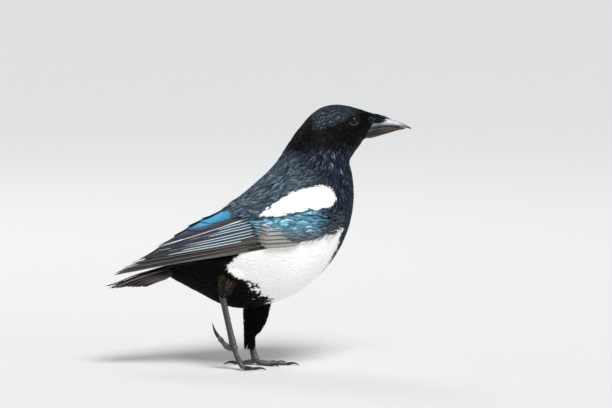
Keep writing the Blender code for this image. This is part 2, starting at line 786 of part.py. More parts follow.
def rounded(corners, count):
    """Evenly spaced points along a line whose corners are rounded off."""
    points = [np.array(c, float) for c in corners]
    for _ in range(3):
        cut = [points[0]]
        for a, b in zip(points[:-1], points[1:]):
            cut += [a * 0.75 + b * 0.25, a * 0.25 + b * 0.75]
        points = cut + [points[-1]]
    steps = [np.linalg.norm(b - a) for a, b in zip(points[:-1], points[1:])]
    reach = np.concatenate([[0.0], np.cumsum(steps)])
    places = np.linspace(0, reach[-1], count)
    return [np.array([np.interp(p, reach, [q[axis] for q in points]) for axis in range(3)]) for p in places]


def toe_path(side, sign, digit, start):
    """The line of one toe, down to the floor and along it, or up behind for the raised hind toe."""
    length, base, end, claw, heading = TOES[digit]
    if side == "right" and digit == "1":
        low = start + np.array([-4.5, 0.0, -0.6])
        high = low + unit(np.array(HIND_TOE_RISE)) * (length - 3.0)
        return rounded([start, low, high], TOE_POINTS)
    angle = math.radians(FOOT_TURN[side] + heading)
    away = np.array([math.cos(angle), sign * math.sin(angle), 0.0])
    slope = math.radians(TOE_SLOPE[side])
    drop = start[2] - FLOOR - base * SOLE
    run = min(drop / math.sin(slope), length - TOE_END_RUN)
    knuckle = start + (away * math.cos(slope) - np.array([0.0, 0.0, math.sin(slope)])) * run
    tip = knuckle + away * (length - run)
    tip[2] = knuckle[2] - (base - end) * SOLE
    return rounded([start, knuckle, tip], TOE_POINTS)


def make_foot(side, sign, ankle, along):
    """The foot: a hub with four toes fused to it, flat on the floor where they rest, and its claws."""
    hub_path = [ankle + along * reach for reach in HUB_REACH]
    hub = tube(f"foot_{side}", hub_path, HUB_RADII, "leg_skin", TARSUS_SIDES, floor=FLOOR)
    toes = []
    for digit, (length, base, end, claw, heading) in TOES.items():
        path = toe_path(side, sign, digit, hub_path[1])
        radii = []
        for t in np.linspace(0, 1, len(path)):
            pad = 1 + 0.10 * math.cos(2 * math.pi * t * 2.5)
            radius = (base + (end - base) * t) * pad
            radii.append((radius, radius * 0.95))
        toes.append(tube(f"toe_{digit}", path, radii, "leg_skin", TOE_SIDES, floor=FLOOR))
        make_claw(side, digit, path, end, claw)
    apply_boolean(hub, toes, "UNION")


def make_claw(side, digit, path, radius, length):
    """A curved claw off the end of a toe."""
    along = unit(np.array(path[-1]) - np.array(path[-2]))
    start = np.array(path[-1]) + along * GAP
    raised = side == "right" and digit == "1"
    bend = math.radians(CLAW_BEND[raised])
    over = unit(np.cross(along, np.array([0.0, 1.0, 0.0])))
    if over[2] < 0:
        over = -over
    if raised:
        over = -over
    lift = math.radians(CLAW_LIFT[raised])
    points = [start, start + along * 0.5]
    radii = [(radius * 0.86, radius * 0.72)] * 2
    steps = 5
    for k in range(1, steps + 1):
        angle = lift - bend * (k - 0.5) / steps
        points.append(points[-1] + (along * math.cos(angle) + over * math.sin(angle)) * length / steps)
        left = 1 - k / steps
        radii.append((radius * (0.10 + 0.76 * left**0.8), radius * (0.10 + 0.62 * left**0.8)))
    tube(f"claw_{side}_{digit}", points, radii, "horn", CLAW_SIDES, floor=FLOOR)


def grown_copy(made, distance):
    """A copy whose surface lies a distance outside the original."""
    copy = bpy.data.objects.new("grown", made.data.copy())
    bpy.context.scene.collection.objects.link(copy)
    work = bmesh.new()
    work.from_mesh(copy.data)
    work.normal_update()
    moves = [v.normal * distance * MM for v in work.verts]
    for vertex, move in zip(work.verts, moves):
        vertex.co += move
    work.to_mesh(copy.data)
    work.free()
    return copy


def centre_on_floor():
    """Put the origin under the middle of the whole bird, on the floor."""
    corners = []
    for item in bpy.context.scene.objects:
        corners += [item.matrix_world @ v.co for v in item.data.vertices]
    corners = np.array([tuple(c) for c in corners])
    low, high = corners.min(0), corners.max(0)
    shift = Vector((-(low[0] + high[0]) / 2, -(low[1] + high[1]) / 2, -low[2]))
    for item in bpy.context.scene.objects:
        item.location = shift


def main():
    for item in list(bpy.data.objects):
        bpy.data.objects.remove(item)
    torso = body_length("torso", 0.0, NECK_START, 19, "black_plumage")
    for side in ("right", "left"):
        thigh = make_leg(side)
        apply_boolean(thigh, [grown_copy(torso, GAP)], "DIFFERENCE")
    wing = make_wing()
    mirrored(wing, "wing_right")
    left = pocket("pocket_left")
    right = mirrored(left, "pocket_right")
    apply_boolean(torso, [left, right], "DIFFERENCE")
    body_length("neck", NECK_START, HEAD_START, 7, "black_plumage")
    make_head()
    make_bill()
    make_tail()
    centre_on_floor()


main()
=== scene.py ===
"""Eurasian magpie, life size: the looks of the part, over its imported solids.

Metres, +Z up, in the frame of the solids. Sizes below are millimetres in the design frame of the part, and
the shift found in main brings them into the frame of the solids. The bird faces +X and its left is +Y.

The feathers of body, thighs and wings are small closed vanes that are laid on a chart, which is a grid of
points over one surface.
"""

import math

import bpy
import numpy as np
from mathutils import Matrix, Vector, kdtree

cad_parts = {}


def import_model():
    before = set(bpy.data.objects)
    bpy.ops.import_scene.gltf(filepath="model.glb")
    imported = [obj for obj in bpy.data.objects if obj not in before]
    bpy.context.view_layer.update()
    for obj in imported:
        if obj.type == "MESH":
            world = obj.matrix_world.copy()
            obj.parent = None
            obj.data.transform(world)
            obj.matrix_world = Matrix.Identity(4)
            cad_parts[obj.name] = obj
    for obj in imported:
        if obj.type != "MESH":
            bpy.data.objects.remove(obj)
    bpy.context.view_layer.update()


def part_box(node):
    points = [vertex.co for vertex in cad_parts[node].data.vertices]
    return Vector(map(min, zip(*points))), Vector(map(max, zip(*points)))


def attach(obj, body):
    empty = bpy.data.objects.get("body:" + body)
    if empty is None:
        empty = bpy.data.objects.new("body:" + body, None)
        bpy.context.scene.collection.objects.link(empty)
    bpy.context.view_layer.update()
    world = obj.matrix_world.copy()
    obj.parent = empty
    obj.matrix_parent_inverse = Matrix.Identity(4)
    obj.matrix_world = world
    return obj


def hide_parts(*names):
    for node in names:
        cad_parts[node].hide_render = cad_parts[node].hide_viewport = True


# A millimetre in metres, the gap between solids, the floor's height, each side's sign of y, and the seeds
MM = 0.001
GAP = 0.3
FLOOR = -11.0
SIGNS = {"left": 1, "right": -1}
SEEDS = {"coat": 11, "wings": 12, "tail": 13, "left": 14, "right": 15, "bristles": 17, "coverts": 18}

# Camera: the middle of the picture and its width there, the distance, degrees above level, sensor and clip
PICTURE_MIDDLE = (36.8, 0.0, 120.8)
PICTURE_WIDTH = 489.6
CAMERA_DISTANCE = 2600.0
CAMERA_RISE = 5.0
SENSOR = 36.0
CAMERA_CLIP = (0.1, 200.0)

# Stage: half the floor's side, light from all round, lamps (name, place and width in metres, watts), the sun
FLOOR_SIZE = 60.0
WORLD_LIGHT = 0.36
LIGHTS = [
    ("fill", (1.6, -1.2, 0.7), 1.2, 6.0),
    ("rim", (-0.6, 1.3, 1.7), 0.9, 8.0),
]
LIGHTS_AIM = (0.0, 0.0, 0.12)
SUN_FROM = (0.25, -0.75, 1.0)
SUN_LIGHT = 3.25
SUN_WIDTH = 24.0

# The pieces of the bird, in the order in which they are made
PIECES = []

# Body: top x, top z, low x, low z, half width, narrowing of the lower half, from the tail root to the face
BODY = [
    (-64.0, 83.0, -75.0, 63.5, 9.0, 0.1),
    (-52.0, 93.0, -63.0, 57.0, 17.0, 0.25),
    (-38.0, 106.0, -47.0, 48.5, 26.0, 0.4),
    (-24.0, 120.5, -29.0, 39.5, 33.0, 0.5),
    (-9.0, 133.0, -9.0, 37.0, 37.5, 0.45),
    (4.0, 144.5, 11.0, 41.5, 39.5, 0.3),
    (11.5, 152.5, 29.0, 49.0, 39.5, 0.15),
    (16.5, 159.5, 46.0, 62.0, 38.5, 0.08),
    (20.5, 166.0, 59.0, 77.5, 37.0, 0.05),
    (24.5, 172.0, 67.5, 93.0, 35.0, 0.05),
    (28.5, 178.0, 72.8, 109.0, 31.5, 0.0),
    (33.0, 183.5, 75.0, 127.0, 27.0, 0.0),
    (37.5, 189.0, 73.8, 143.5, 22.8, 0.0),
    (43.0, 194.2, 71.6, 154.5, 19.6, 0.0),
    (50.0, 198.4, 75.0, 161.5, 18.4, 0.0),
    (60.0, 200.4, 79.0, 167.0, 17.4, 0.0),
    (70.0, 199.4, 82.5, 171.5, 15.6, 0.0),
    (79.0, 197.0, 85.5, 173.2, 12.6, 0.0),
    (86.0, 194.7, 88.0, 173.8, 9.8, 0.0),
    (91.5, 192.6, 90.5, 174.4, 7.4, 0.0),
]
# Roundness of the body's rings, points of each, rings from one station to the next, voxel of the skin
BODY_ROUNDNESS = 2.15
BODY_COLUMNS = 120
BODY_STEPS = 10
SKIN_VOXEL = 1.3

# Coat by station along BODY: station, length, width, spacing, depth of the skin
COAT = [
    (0.0, 10.5, 3.2, 2.0, 1.3),
    (2.0, 10.5, 3.1, 1.9, 1.7),
    (8.0, 10.0, 2.9, 1.75, 1.7),
    (10.0, 8.2, 2.4, 1.5, 1.5),
    (12.0, 6.0, 1.9, 1.25, 1.2),
    (14.0, 4.6, 1.5, 1.0, 0.9),
    (16.0, 3.8, 1.25, 0.85, 0.7),
    (17.5, 3.0, 1.1, 0.76, 0.6),
    (19.0, 2.4, 0.9, 0.70, 0.5),
]

# Lay of the folded wing: x, skyline z, widest z, half width
WRAP = [
    (-122.0, 67.0, 60.0, 9.0),
    (-105.0, 75.5, 65.0, 13.0),
    (-93.0, 81.5, 69.0, 16.5),
    (-72.0, 96.5, 74.0, 23.0),
    (-56.0, 108.0, 77.0, 29.0),
    (-38.0, 115.0, 79.0, 35.0),
    (-16.0, 130.0, 82.0, 39.5),
    (4.0, 146.0, 85.0, 41.5),
    (20.0, 160.0, 88.0, 41.5),
    (40.0, 172.0, 92.0, 39.0),
    (56.0, 178.0, 97.0, 32.8),
    (70.0, 184.0, 104.0, 22.5),
]
# Roundness of the lay, points across it, drop of its lower half, turn at its lower end, room at the midline
WRAP_ROUNDNESS = 2.2
WRAP_COLUMNS = 121
WRAP_LOW = 60.0
WRAP_END = 2.3
MIDLINE_CLEAR = 3.0

# Side view of the folded wing, x and z: its upper and front edge from the rear, then its lower edge
WING_COVER = [(-93, 79), (-62, 104), (-46, 112), (-29, 114), (-12, 112), (0, 112), (20, 113), (40, 117),
              (56, 120.5), (64, 118.5), (68, 112), (67.5, 103)]
WING_UNDER = [(63, 99), (52, 95), (36, 92), (24, 90), (2, 86.5), (-16, 82.5), (-48, 78.5), (-88, 74),
              (-112, 66)]

# White marks in side view, x and z
SHOULDER_PATCH = [(-1, 111), (8, 118.5), (16, 124), (24, 129), (32, 132), (40, 134), (50, 136), (54.5, 134.5),
                  (57.5, 131.5), (60, 128), (60.6, 124.8), (59, 121.5), (56, 118.5), (44, 115), (28, 113),
                  (12, 110.5)]
FLANK_PATCH = [(67, 102), (64.5, 95), (62.5, 88), (59.5, 81), (56, 74), (54.5, 69.5), (60, 60), (40, 30),
               (14, 36), (9, 44), (-1, 50), (-4, 57), (-8, 59.2), (-16, 61.2), (-20.5, 64), (-24.5, 67),
               (-26, 71.5), (-20, 77), (-14, 82), (-8, 92), (10, 96), (40, 100), (60, 104)]
# Edges of the white marks: how far they wander, and how far the belly's run out in tongues
EDGE_WANDER = 0.45
TONGUES = 4.0

# Contour feathers: points along and across, outline, splay from the lie, roll, how round and ragged the tips
# are, how arched the vane, painted shade at the root, spread of tones
VANE_ROWS = 5
VANE_COLUMNS = 5
VANE_TOPS = (VANE_ROWS - 1) * (VANE_COLUMNS - 1)
VANE_AT = [0.0, 0.25, 0.6, 0.85, 1.0]
VANE_WIDE = [0.4, 0.8, 1.0, 0.78, 0.3]
SPLAY = 0.08
ROLL = 0.05
ROUND_END = 0.16
RAGGED = 0.07
CUPPED = 0.10
ROOT_SHADE = 0.8
TONE_SPREAD = 0.5
# White feathers: how much flatter, deeper at the tip, wider and nearer the skin they are
SOFT_FLATNESS = 0.7
SOFT_DIVE = 0.42
SOFT_WIDER = 0.5
SOFT_LOWER = 0.65
# Coat round the wing: where it rises over the edge and how much, where the mantle ends and the rump darkens,
# how much of the flank runs under and how deep, and the half breadth of the back that stays feathered
COVER_REACH = 14.0
COVER_LIFT = 0.7
COVER_MOST = 6.0
MANTLE_END = -17.0
MANTLE_WANDER = 4.5
RUMP_Z = 80
RUMP_SHADE = 0.85
FLANK_UNDER = 9.0
UNDER_TIPS = (-0.8, -2.0)
UNDER_FRONT_X = (40, 60)
BACK_HALF = 6
TRIES = 6
CLOSEST = 0.84
# Maps: size of a vane's patch, margin of a feather's cell, scales of the barbs, step from one to the next,
# and how many contour feathers make a piece
PATCH = 0.003
CELL_MARGIN = 0.06
BODY_BARBS = (7.0, 2.0)
QUILL_BARBS = (60.0, 1.0)
BARB_STEP = np.array([0.0, 3.0])
FEATHERS_PER_PIECE = 4130
# A grid is read up to just short of its last point
GRID_END = 1.001
# Half breadth of a shaft, as a share of its vane
SHAFT = 0.05

# Colours, linear
WHITE = np.array([0.90, 0.90, 0.88])
VENT = np.array([0.0009, 0.0009, 0.0011])
THIGH = np.array([0.028, 0.020, 0.014])
BREAST = np.array([0.020, 0.030, 0.050])
# The mantle colour is a painted sheen: the black back lightened to a glossy blue-grey
MANTLE_SHEEN = np.array([0.070, 0.100, 0.128])
NECK = np.array([0.012, 0.017, 0.030])
HEAD = np.array([0.0022, 0.0026, 0.003])
# The crown colour is a painted sheen: a glossy blue-grey band on the black crown
CROWN_SHEEN = np.array([0.024, 0.032, 0.042])
# A painted glint: the silky light that single dark feathers catch
PAINTED_GLINT = np.array([0.075, 0.090, 0.110])
SHAFT_COLOUR = (0.012, 0.011, 0.012)
BILL_DARK = (0.018, 0.019, 0.022)
# The next colour is a painted highlight on the dark horn of the upper mandible
BILL_HIGHLIGHT = (0.42, 0.43, 0.46)
BILL_BLUE = (0.009, 0.013, 0.013)
BILL_STAIN = (0.11, 0.078, 0.036)
PUPIL = (0.002, 0.002, 0.002)
IRIS = (0.004, 0.0025, 0.002)
LID_DARK = (0.003, 0.003, 0.0035)
LID_PALE = (0.13, 0.12, 0.09)
LEG_DARK = (0.030, 0.031, 0.034)
LEG_PALE = (0.115, 0.118, 0.125)
CLAW_COLOUR = (0.022, 0.022, 0.024)
FLOOR_COLOUR = (0.68, 0.68, 0.67, 1.0)
SKY_COLOUR = (0.86, 0.90, 0.96, 1.0)

# Zones of the dark coat, from where each begins to where it is whole, by x, height or station
BREAST_X = (40, 62)
BREAST_Z = (60, 90)
MANTLE_LINE = (92, 0.35)
MANTLE_Z = (0, 14)
MANTLE_STATIONS = (12, 9)
NECK_STATIONS = (8.5, 11)
FACE_X = (66, 76)
HEAD_Z = (156, 170)
CROWN_Z = (184, 191)
CROWN_BACK_X = (38, 46)
CROWN_FRONT_X = (84, 72)
# Painted glint of silky light: share on the neck with its heights, then strength, x, z, slope and reach in x
# and in z of that below the cheek and on the crown, and where the nape has none
NECK_GLINT = 0.45
NECK_GLINT_Z = (96, 130)
NECK_GLINT_END = (160, 172)
GLINT_SPOTS = [(1.0, 58, 164, 0.15, 14, 7), (0.9, 55, 191, 0.0, 12, 6)]
NAPE_X = (48, 40)
NAPE_Z = (148, 164)

# Wing tiers, the lowest first. roots and tips run in side view from the upper to the lower feather. wide is
# the half widths of the inner and outer vane, depth the depth under the lay, sink its growth from feather to
# feather, tilt the degrees that raise the lower edge, colours those of the first and last feather, and edge
# and inner the shares of two more colours. TIER has what a tier doesn't say.
TIER = dict(rows=22, bow=0.0, point=0.5, ragged=0.3, wander=0.5, inner=0.5, inner_colour=(0.02, 0.02, 0.024),
            edge_from=(0.55, 0.85), tip_colour=None, painted=False)
WING_TIERS = [
    # The lowest tier: two near-black feathers under the wing's lower edge, a painted shadow line there
    dict(count=2, roots=[(50, 97), (46, 95)], tips=[(-14, 88), (-16, 84.5)], wide=(3.5, 2.0), depth=2.5,
         sink=0.1, tilt=10, gloss=0.1, edge=0.0, edge_colour=(0.01, 0.01, 0.01),
         colours=[(0.006, 0.006, 0.007)] * 2),
    dict(count=7, roots=[(12, 96), (18, 88.5)],
         tips=[(-97, 78.5), (-108, 73), (-117.5, 65), (-111, 67.5), (-97, 70.5)], wide=(4.6, 1.8), depth=2.2,
         sink=0.07, tilt=13, gloss=0.2, edge=0.9, edge_colour=(0.46, 0.42, 0.34), edge_from=(0.68, 0.92),
         colours=[(0.026, 0.021, 0.021), (0.014, 0.011, 0.010)], tip_colour=(0.060, 0.044, 0.040), inner=0.8,
         wander=0.3),
    dict(count=7, roots=[(-2, 110), (0, 95)], tips=[(-76, 90.5), (-90, 79)], wide=(4.2, 1.7), depth=1.6,
         sink=0.06, tilt=13, gloss=0.3, edge=0.95, edge_colour=(0.60, 0.72, 0.78), inner=0.9,
         inner_colour=(0.008, 0.012, 0.018), colours=[(0.05, 0.09, 0.14), (0.03, 0.05, 0.075)],
         tip_colour=(0.045, 0.040, 0.048), wander=0.4, edge_from=(0.35, 0.7)),
    dict(count=1, roots=[(-4, 112.5), (-4, 112.5)], tips=[(-84, 87), (-84, 87)], wide=(4.6, 1.7), depth=1.4,
         sink=0.0, tilt=12, gloss=0.1, edge=1.0, edge_colour=(0.84, 0.84, 0.84), inner=0.9, wander=0.0,
         inner_colour=(0.02, 0.02, 0.03), colours=[(0.10, 0.12, 0.16)] * 2, edge_from=(0.2, 0.5)),
    dict(count=4, roots=[(-10, 131), (-10, 120)], tips=[(-99, 79.5), (-93, 82), (-88, 83), (-94, 78)],
         wide=(6.5, 5.0), depth=3.0, sink=-0.1, tilt=3, gloss=0.35, edge=0.3, edge_colour=(0.03, 0.04, 0.06),
         inner=0.2, colours=[(0.006, 0.009, 0.016), (0.010, 0.014, 0.026)], wander=0.3, bow=1.5),
    dict(count=5, roots=[(-12, 119), (-11, 112.5)],
         tips=[(-48, 107.5), (-60, 101), (-71, 93.5), (-82, 86), (-93.2, 78.5)], wide=(12.0, 4.2), depth=0.9,
         sink=0.18, tilt=3, gloss=0.55, edge=0.2, edge_colour=(0.10, 0.10, 0.13), inner=0.0,
         colours=[(0.050, 0.055, 0.080), (0.040, 0.040, 0.056)], bow=3.0, point=0.6, wander=0.1,
         painted=True),
    dict(count=6, roots=[(20, 113), (26, 99)], tips=[(-12, 110), (-6, 98)], wide=(3.4, 2.2), depth=1.2,
         sink=0.04, tilt=13, gloss=0.5, edge=0.7, edge_colour=(0.36, 0.62, 0.74), inner=0.8, wander=1.2,
         inner_colour=(0.015, 0.05, 0.07), colours=[(0.10, 0.30, 0.42), (0.08, 0.15, 0.20)], rows=10),
    dict(count=6, roots=[(26, 106), (32, 90)], tips=[(-1, 104.5), (-2.8, 88)], wide=(3.8, 2.8), depth=0.6,
         sink=0.08, tilt=12, gloss=0.1, edge=0.3, edge_colour=(0.40, 0.37, 0.33), inner=0.12,
         inner_colour=(0.07, 0.07, 0.07), colours=[(0.30, 0.34, 0.36), (0.26, 0.24, 0.22)], rows=10,
         tip_colour=(0.20, 0.16, 0.13), ragged=1.0, wander=0.8, point=0.8),
    dict(count=3, roots=[(52, 101), (54, 98)], tips=[(14, 93), (22, 90.8)], wide=(2.2, 1.6), depth=0.9,
         sink=0.1, tilt=14, gloss=0.3, edge=0.7, edge_colour=(0.30, 0.32, 0.34), rows=10,
         colours=[(0.08, 0.10, 0.12), (0.03, 0.03, 0.03)]),
]
# Wing feathers: points across, plunge of the roots, arch and rise of the shaft
QUILL_COLUMNS = 9
ROOT_PLUNGE = 1.2
QUILL_CUP = 0.05
SHAFT_RISE = 0.14
# Tertials: colours, where along x they deepen and darken, height at x 0 and slope of the blue's lower edge
TERTIAL_CYAN = np.array([0.020, 0.30, 0.52])
TERTIAL_DEEP = np.array([0.008, 0.065, 0.17])
TERTIAL_BLACK = np.array([0.005, 0.008, 0.015])
TERTIAL_DEEP_X = (-94, -62)
TERTIAL_CYAN_X = (-64, -38)
TERTIAL_LINE = (112.4, 0.32)
TERTIAL_EDGE = (3.0, 6.5)
# Small coverts: where they root, their length, width, spacing and depth, how much smaller in front, colours
COVERT_AREA = [(12, 112), (22, 114), (40, 118), (58, 121), (66, 118), (68.5, 111), (67.5, 104), (62, 99.5),
               (50, 96.5), (40, 94.5), (32, 95), (24, 103), (14, 107)]
COVERT_SIZE = (13.0, 4.4, 2.4, 1.3)
COVERT_SMALLER = 0.45
COVERT_GLOSS = 0.5
COVERT_TEAL = np.array([0.060, 0.20, 0.29])
# The next colour is a painted highlight, a pale cyan glint on some coverts
COVERT_CYAN_GLINT = np.array([0.36, 0.66, 0.80])
COVERT_SLATE = np.array([0.022, 0.038, 0.056])
COVERT_GREY = np.array([0.085, 0.125, 0.15])

# Tail: root, its lean below level, and the twelve feathers from the middle outwards
TAIL_ROOT = (-68.0, 73.5)
TAIL_LEAN = 16.5
TAIL_LENGTHS = [59.0, 55.0, 57.0, 48.0, 52.0, 43.0, 45.0, 37.0, 40.0, 32.0, 34.0, 27.0]
TAIL_GRID = (22, 13)
TAIL_WIDTH = 11.0
TAIL_AT = [0, 0.2, 0.6, 0.9, 1]
TAIL_WIDE = [0.5, 0.9, 1.0, 0.85, 0.6]
# From feather to feather: drop, place aside of the first, second and each next pair, fan and roll in degrees
TAIL_STEP = 0.95
TAIL_ASIDE = (0.3, 6.0, 0.95)
TAIL_FAN = 1.2
TAIL_ROLL = 9.0
TAIL_SUNK = 4.0
# Each feather: arch, rise of the shaft, round end, wear, fray and droop of the end, gloss, colours of root,
# painted sheen and edge, and shares of the last two
TAIL_ARCH = 0.264
TAIL_SHAFT = 0.22
TAIL_ROUND = 0.10
TAIL_WEAR = 2.6
TAIL_FRAY = 0.3
TAIL_DROOP = 1.6
TAIL_GLOSS = 0.35
TAIL_COLOURS = [(0.038, 0.028, 0.031), (0.12, 0.10, 0.12), (0.16, 0.13, 0.12)]
TAIL_SHARES = (0.6, 0.35)

# Legs: side, thigh rings (x, y, z, half depth, half width)
THIGHS = {
    "right": [
        (-15.0, 20.0, 76.0, 16.0, 12.0),
        (-20.0, 21.5, 68.0, 13.0, 10.5),
        (-24.5, 21.0, 60.0, 10.0, 8.6),
        (-27.6, 19.6, 54.0, 6.4, 6.0),
        (-29.2, 18.6, 50.2, 3.6, 3.6),
    ],
    "left": [
        (-1.0, 17.0, 58.0, 13.5, 11.5),
        (-2.2, 18.2, 47.0, 12.2, 10.5),
        (-2.8, 18.0, 38.0, 10.8, 9.2),
        (-4.2, 17.5, 28.0, 9.6, 7.8),
        (-6.2, 17.0, 20.0, 7.8, 6.4),
        (-8.4, 16.6, 13.4, 4.9, 4.4),
    ],
}
# Rings that carry the loose feathers of a thigh on over its tarsus
FRINGE = {"right": [], "left": [(-8.7, 16.3, 5.5, 4.5, 4.1)]}
# Feathers of a thigh: grid, spacing, length, width, row that they start at, their depth and the skin's from
# top to heel, gloss, and where the near one is brown
THIGH_ROWS = 61
THIGH_COLUMNS = 48
THIGH_SPACING = 1.5
THIGH_LENGTH = 11.0
THIGH_WIDTH = 1.9
THIGH_FROM = {"right": 22, "left": 5}
THIGH_DEPTH = (1.6, 0.6)
THIGH_SKIN = (1.6, 0.4)
THIGH_GLOSS = 0.3
BROWN_X = (-16, -21)
BROWN_Z = (48, 54)
# Tarsus: run of the heel, ankle, half depth and half width along it
HEEL_RUN = 1.8
ANKLES = {"right": (-21.4, 17.0, 9.6), "left": (-5.0, 15.5, -3.6)}
TARSUS_RADII = [(0.0, 3.0, 2.6), (0.12, 2.7, 2.1), (0.5, 2.4, 1.8), (0.85, 2.6, 2.0), (1.0, 2.9, 2.6)]
TARSUS_ROWS = 90
LEG_COLUMNS = 28

# Toes: length without claw, base and tip radius, claw length, heading from straight ahead
TOES = {
    "1": (16.0, 2.3, 1.7, 11.0, 180.0),
    "2": (17.0, 2.0, 1.5, 8.0, -30.0),
    "3": (27.5, 2.1, 1.5, 9.5, 0.0),
    "4": (20.5, 2.0, 1.45, 7.5, 26.0),
}
# The hub that the toes leave, the raised hind toe, the slope of the others down to the floor and their soles
FOOT_TURN = {"right": -4.0, "left": -6.0}
HUB_REACH = (GAP, 2.8, 4.4)
HUB_RADII = [(0, 2.6, 2.4), (0.35, 2.9, 2.7), (0.7, 3.2, 3.1), (1, 2.3, 2.3)]
RAISED_TOE = ("right", "1")
HIND_TOE_RISE = (-0.62, 0.0, 0.78)
TOE_SLOPE = {"right": 68.0, "left": 42.0}
TOE_END_RUN = 4.5
TOE_ROWS = 64
TOE_COLUMNS = 24
SOLE = 0.8
# Claws: steps along, points round, and bend and lift in degrees
CLAW_STEPS = 16
CLAW_COLUMNS = 18
CLAW_TURN = {"raised": (25, -5), "down": (62, 24)}

# Bill: the face's edge round it in side view, then x, upper z, lower z and half width of each half
GAPE_PATCH = [(79.6, 178.4), (88.8, 185.4), (93.0, 187.5), (93.0, 172.0), (83.5, 172.0)]
CULMEN = [
    (79.5, 181.0, 178.6, 10.3),
    (85.5, 187.0, 180.2, 9.3),
    (91.5, 191.8, 181.9, 7.3),
    (97.0, 190.6, 182.7, 5.5),
    (104.0, 189.2, 183.0, 4.5),
    (111.0, 187.0, 182.9, 3.3),
    (116.5, 184.3, 182.1, 1.9),
    (120.5, 181.9, 180.9, 0.5),
]
MANDIBLE = [
    (79.5, 178.4, 176.8, 10.0),
    (85.5, 180.0, 173.6, 9.2),
    (91.5, 181.7, 174.3, 7.2),
    (97.0, 182.4, 175.9, 5.1),
    (104.0, 182.7, 178.0, 4.0),
    (110.0, 182.6, 179.8, 2.7),
    (116.0, 181.9, 181.0, 1.0),
]
BILL_GRID = (44, 25)
BILL_ROOT = 91.5
BRISTLES = 700
BRISTLE_GRID = (7, 4)
BRISTLE_WIDTH = 0.36
BRISTLE_GLOSS = 0.6

# Eye: place in side view, radius of the ball, how far its middle lies under the face, room left in the coat
# and least y of that room, bulge of the cornea, the way it looks, and radius, thickness and height of the
# rims of the lids
EYE_X = 74.4
EYE_Z = 188.4
EYE_RADIUS = 4.7
EYE_SINK = 2.3
EYE_ROOM = 4.5
EYE_SIDE = 8
CORNEA = 0.25
EYE_LOOK = (0.4, 1.0, 0.5)
EYE_GRID = (40, 48)
LID_RINGS = [(3.70, 0.19, 2.86), (4.25, 0.36, 2.42)]
LID_GRID = (72, 14)


def curve(table, at):
    """Read a smooth curve through the rows of table, whose first column rises, at the values in at."""
    table = np.array(table, float)
    keys = table[:, 0]
    values = table[:, 1:]
    slopes = np.gradient(values, keys, axis=0)
    at = np.clip(np.atleast_1d(np.asarray(at, float)), keys[0], keys[-1])
    i = np.clip(np.searchsorted(keys, at) - 1, 0, len(keys) - 2)
    span = (keys[i + 1] - keys[i])[:, None]
    t = (at - keys[i])[:, None] / span
    start = values[i] * (2 * t**3 - 3 * t**2 + 1) + slopes[i] * span * (t**3 - 2 * t**2 + t)
    end = values[i + 1] * (3 * t**2 - 2 * t**3) + slopes[i + 1] * span * (t**3 - t**2)
    return start + end


def smooth(value, low, high):
    """0 below low, 1 above high, and a smooth rise between."""
    t = np.clip((value - low) / (high - low), 0.0, 1.0)
    return t * t * (3 - 2 * t)


def unit(v):
    return v / np.maximum(np.linalg.norm(v, axis=-1, keepdims=True), 1e-9)


def signed_power(value, power):
    return np.sign(value) * np.abs(value) ** power


def blend(a, b, share):
    """From a to b by a share, which is given for each place."""
    share = np.asarray(share)[..., None]
    return np.asarray(a) * (1 - share) + np.asarray(b) * share


def turned(a, b, angle):
    """Two square directions, turned by an angle in their plane."""
    return a * np.cos(angle) + b * np.sin(angle), b * np.cos(angle) - a * np.sin(angle)


def resample(rows, count):
    """Evenly spaced places on the smooth curve through some rows."""
    return curve([(i, *row) for i, row in enumerate(rows)], np.linspace(0, len(rows) - 1, count))


def inside(outline, x, z):
    """Whether points of the side view lie in an outline."""
    found = np.zeros(np.shape(x), bool)
    for (xa, za), (xb, zb) in zip(outline, outline[1:] + outline[:1]):
        if za == zb:
            continue
        crosses = (za > z) != (zb > z)
        found ^= crosses & (x < (xb - xa) * (z - za) / (zb - za) + xa)
    return found


def distance_to(line, x, z):
    """How far points of the side view lie from a line of corners."""
    best = np.full(np.shape(x), 1e9)
    for (xa, za), (xb, zb) in zip(line, line[1:]):
        run = (xb - xa) ** 2 + (zb - za) ** 2
        t = np.clip(((x - xa) * (xb - xa) + (z - za) * (zb - za)) / run, 0, 1)
        best = np.minimum(best, np.hypot(x - xa - t * (xb - xa), z - za - t * (zb - za)))
    return best


def side_view(points):
    """Where points stand in the photograph's side view, whose camera looks down on the near side a little."""
    return points[..., 0], points[..., 2] - math.tan(math.radians(CAMERA_RISE)) * np.abs(points[..., 1])


def behind_wing(points):
    """Whether points lie under the folded wing in side view."""
    return inside(WING_COVER + WING_UNDER, *side_view(points))


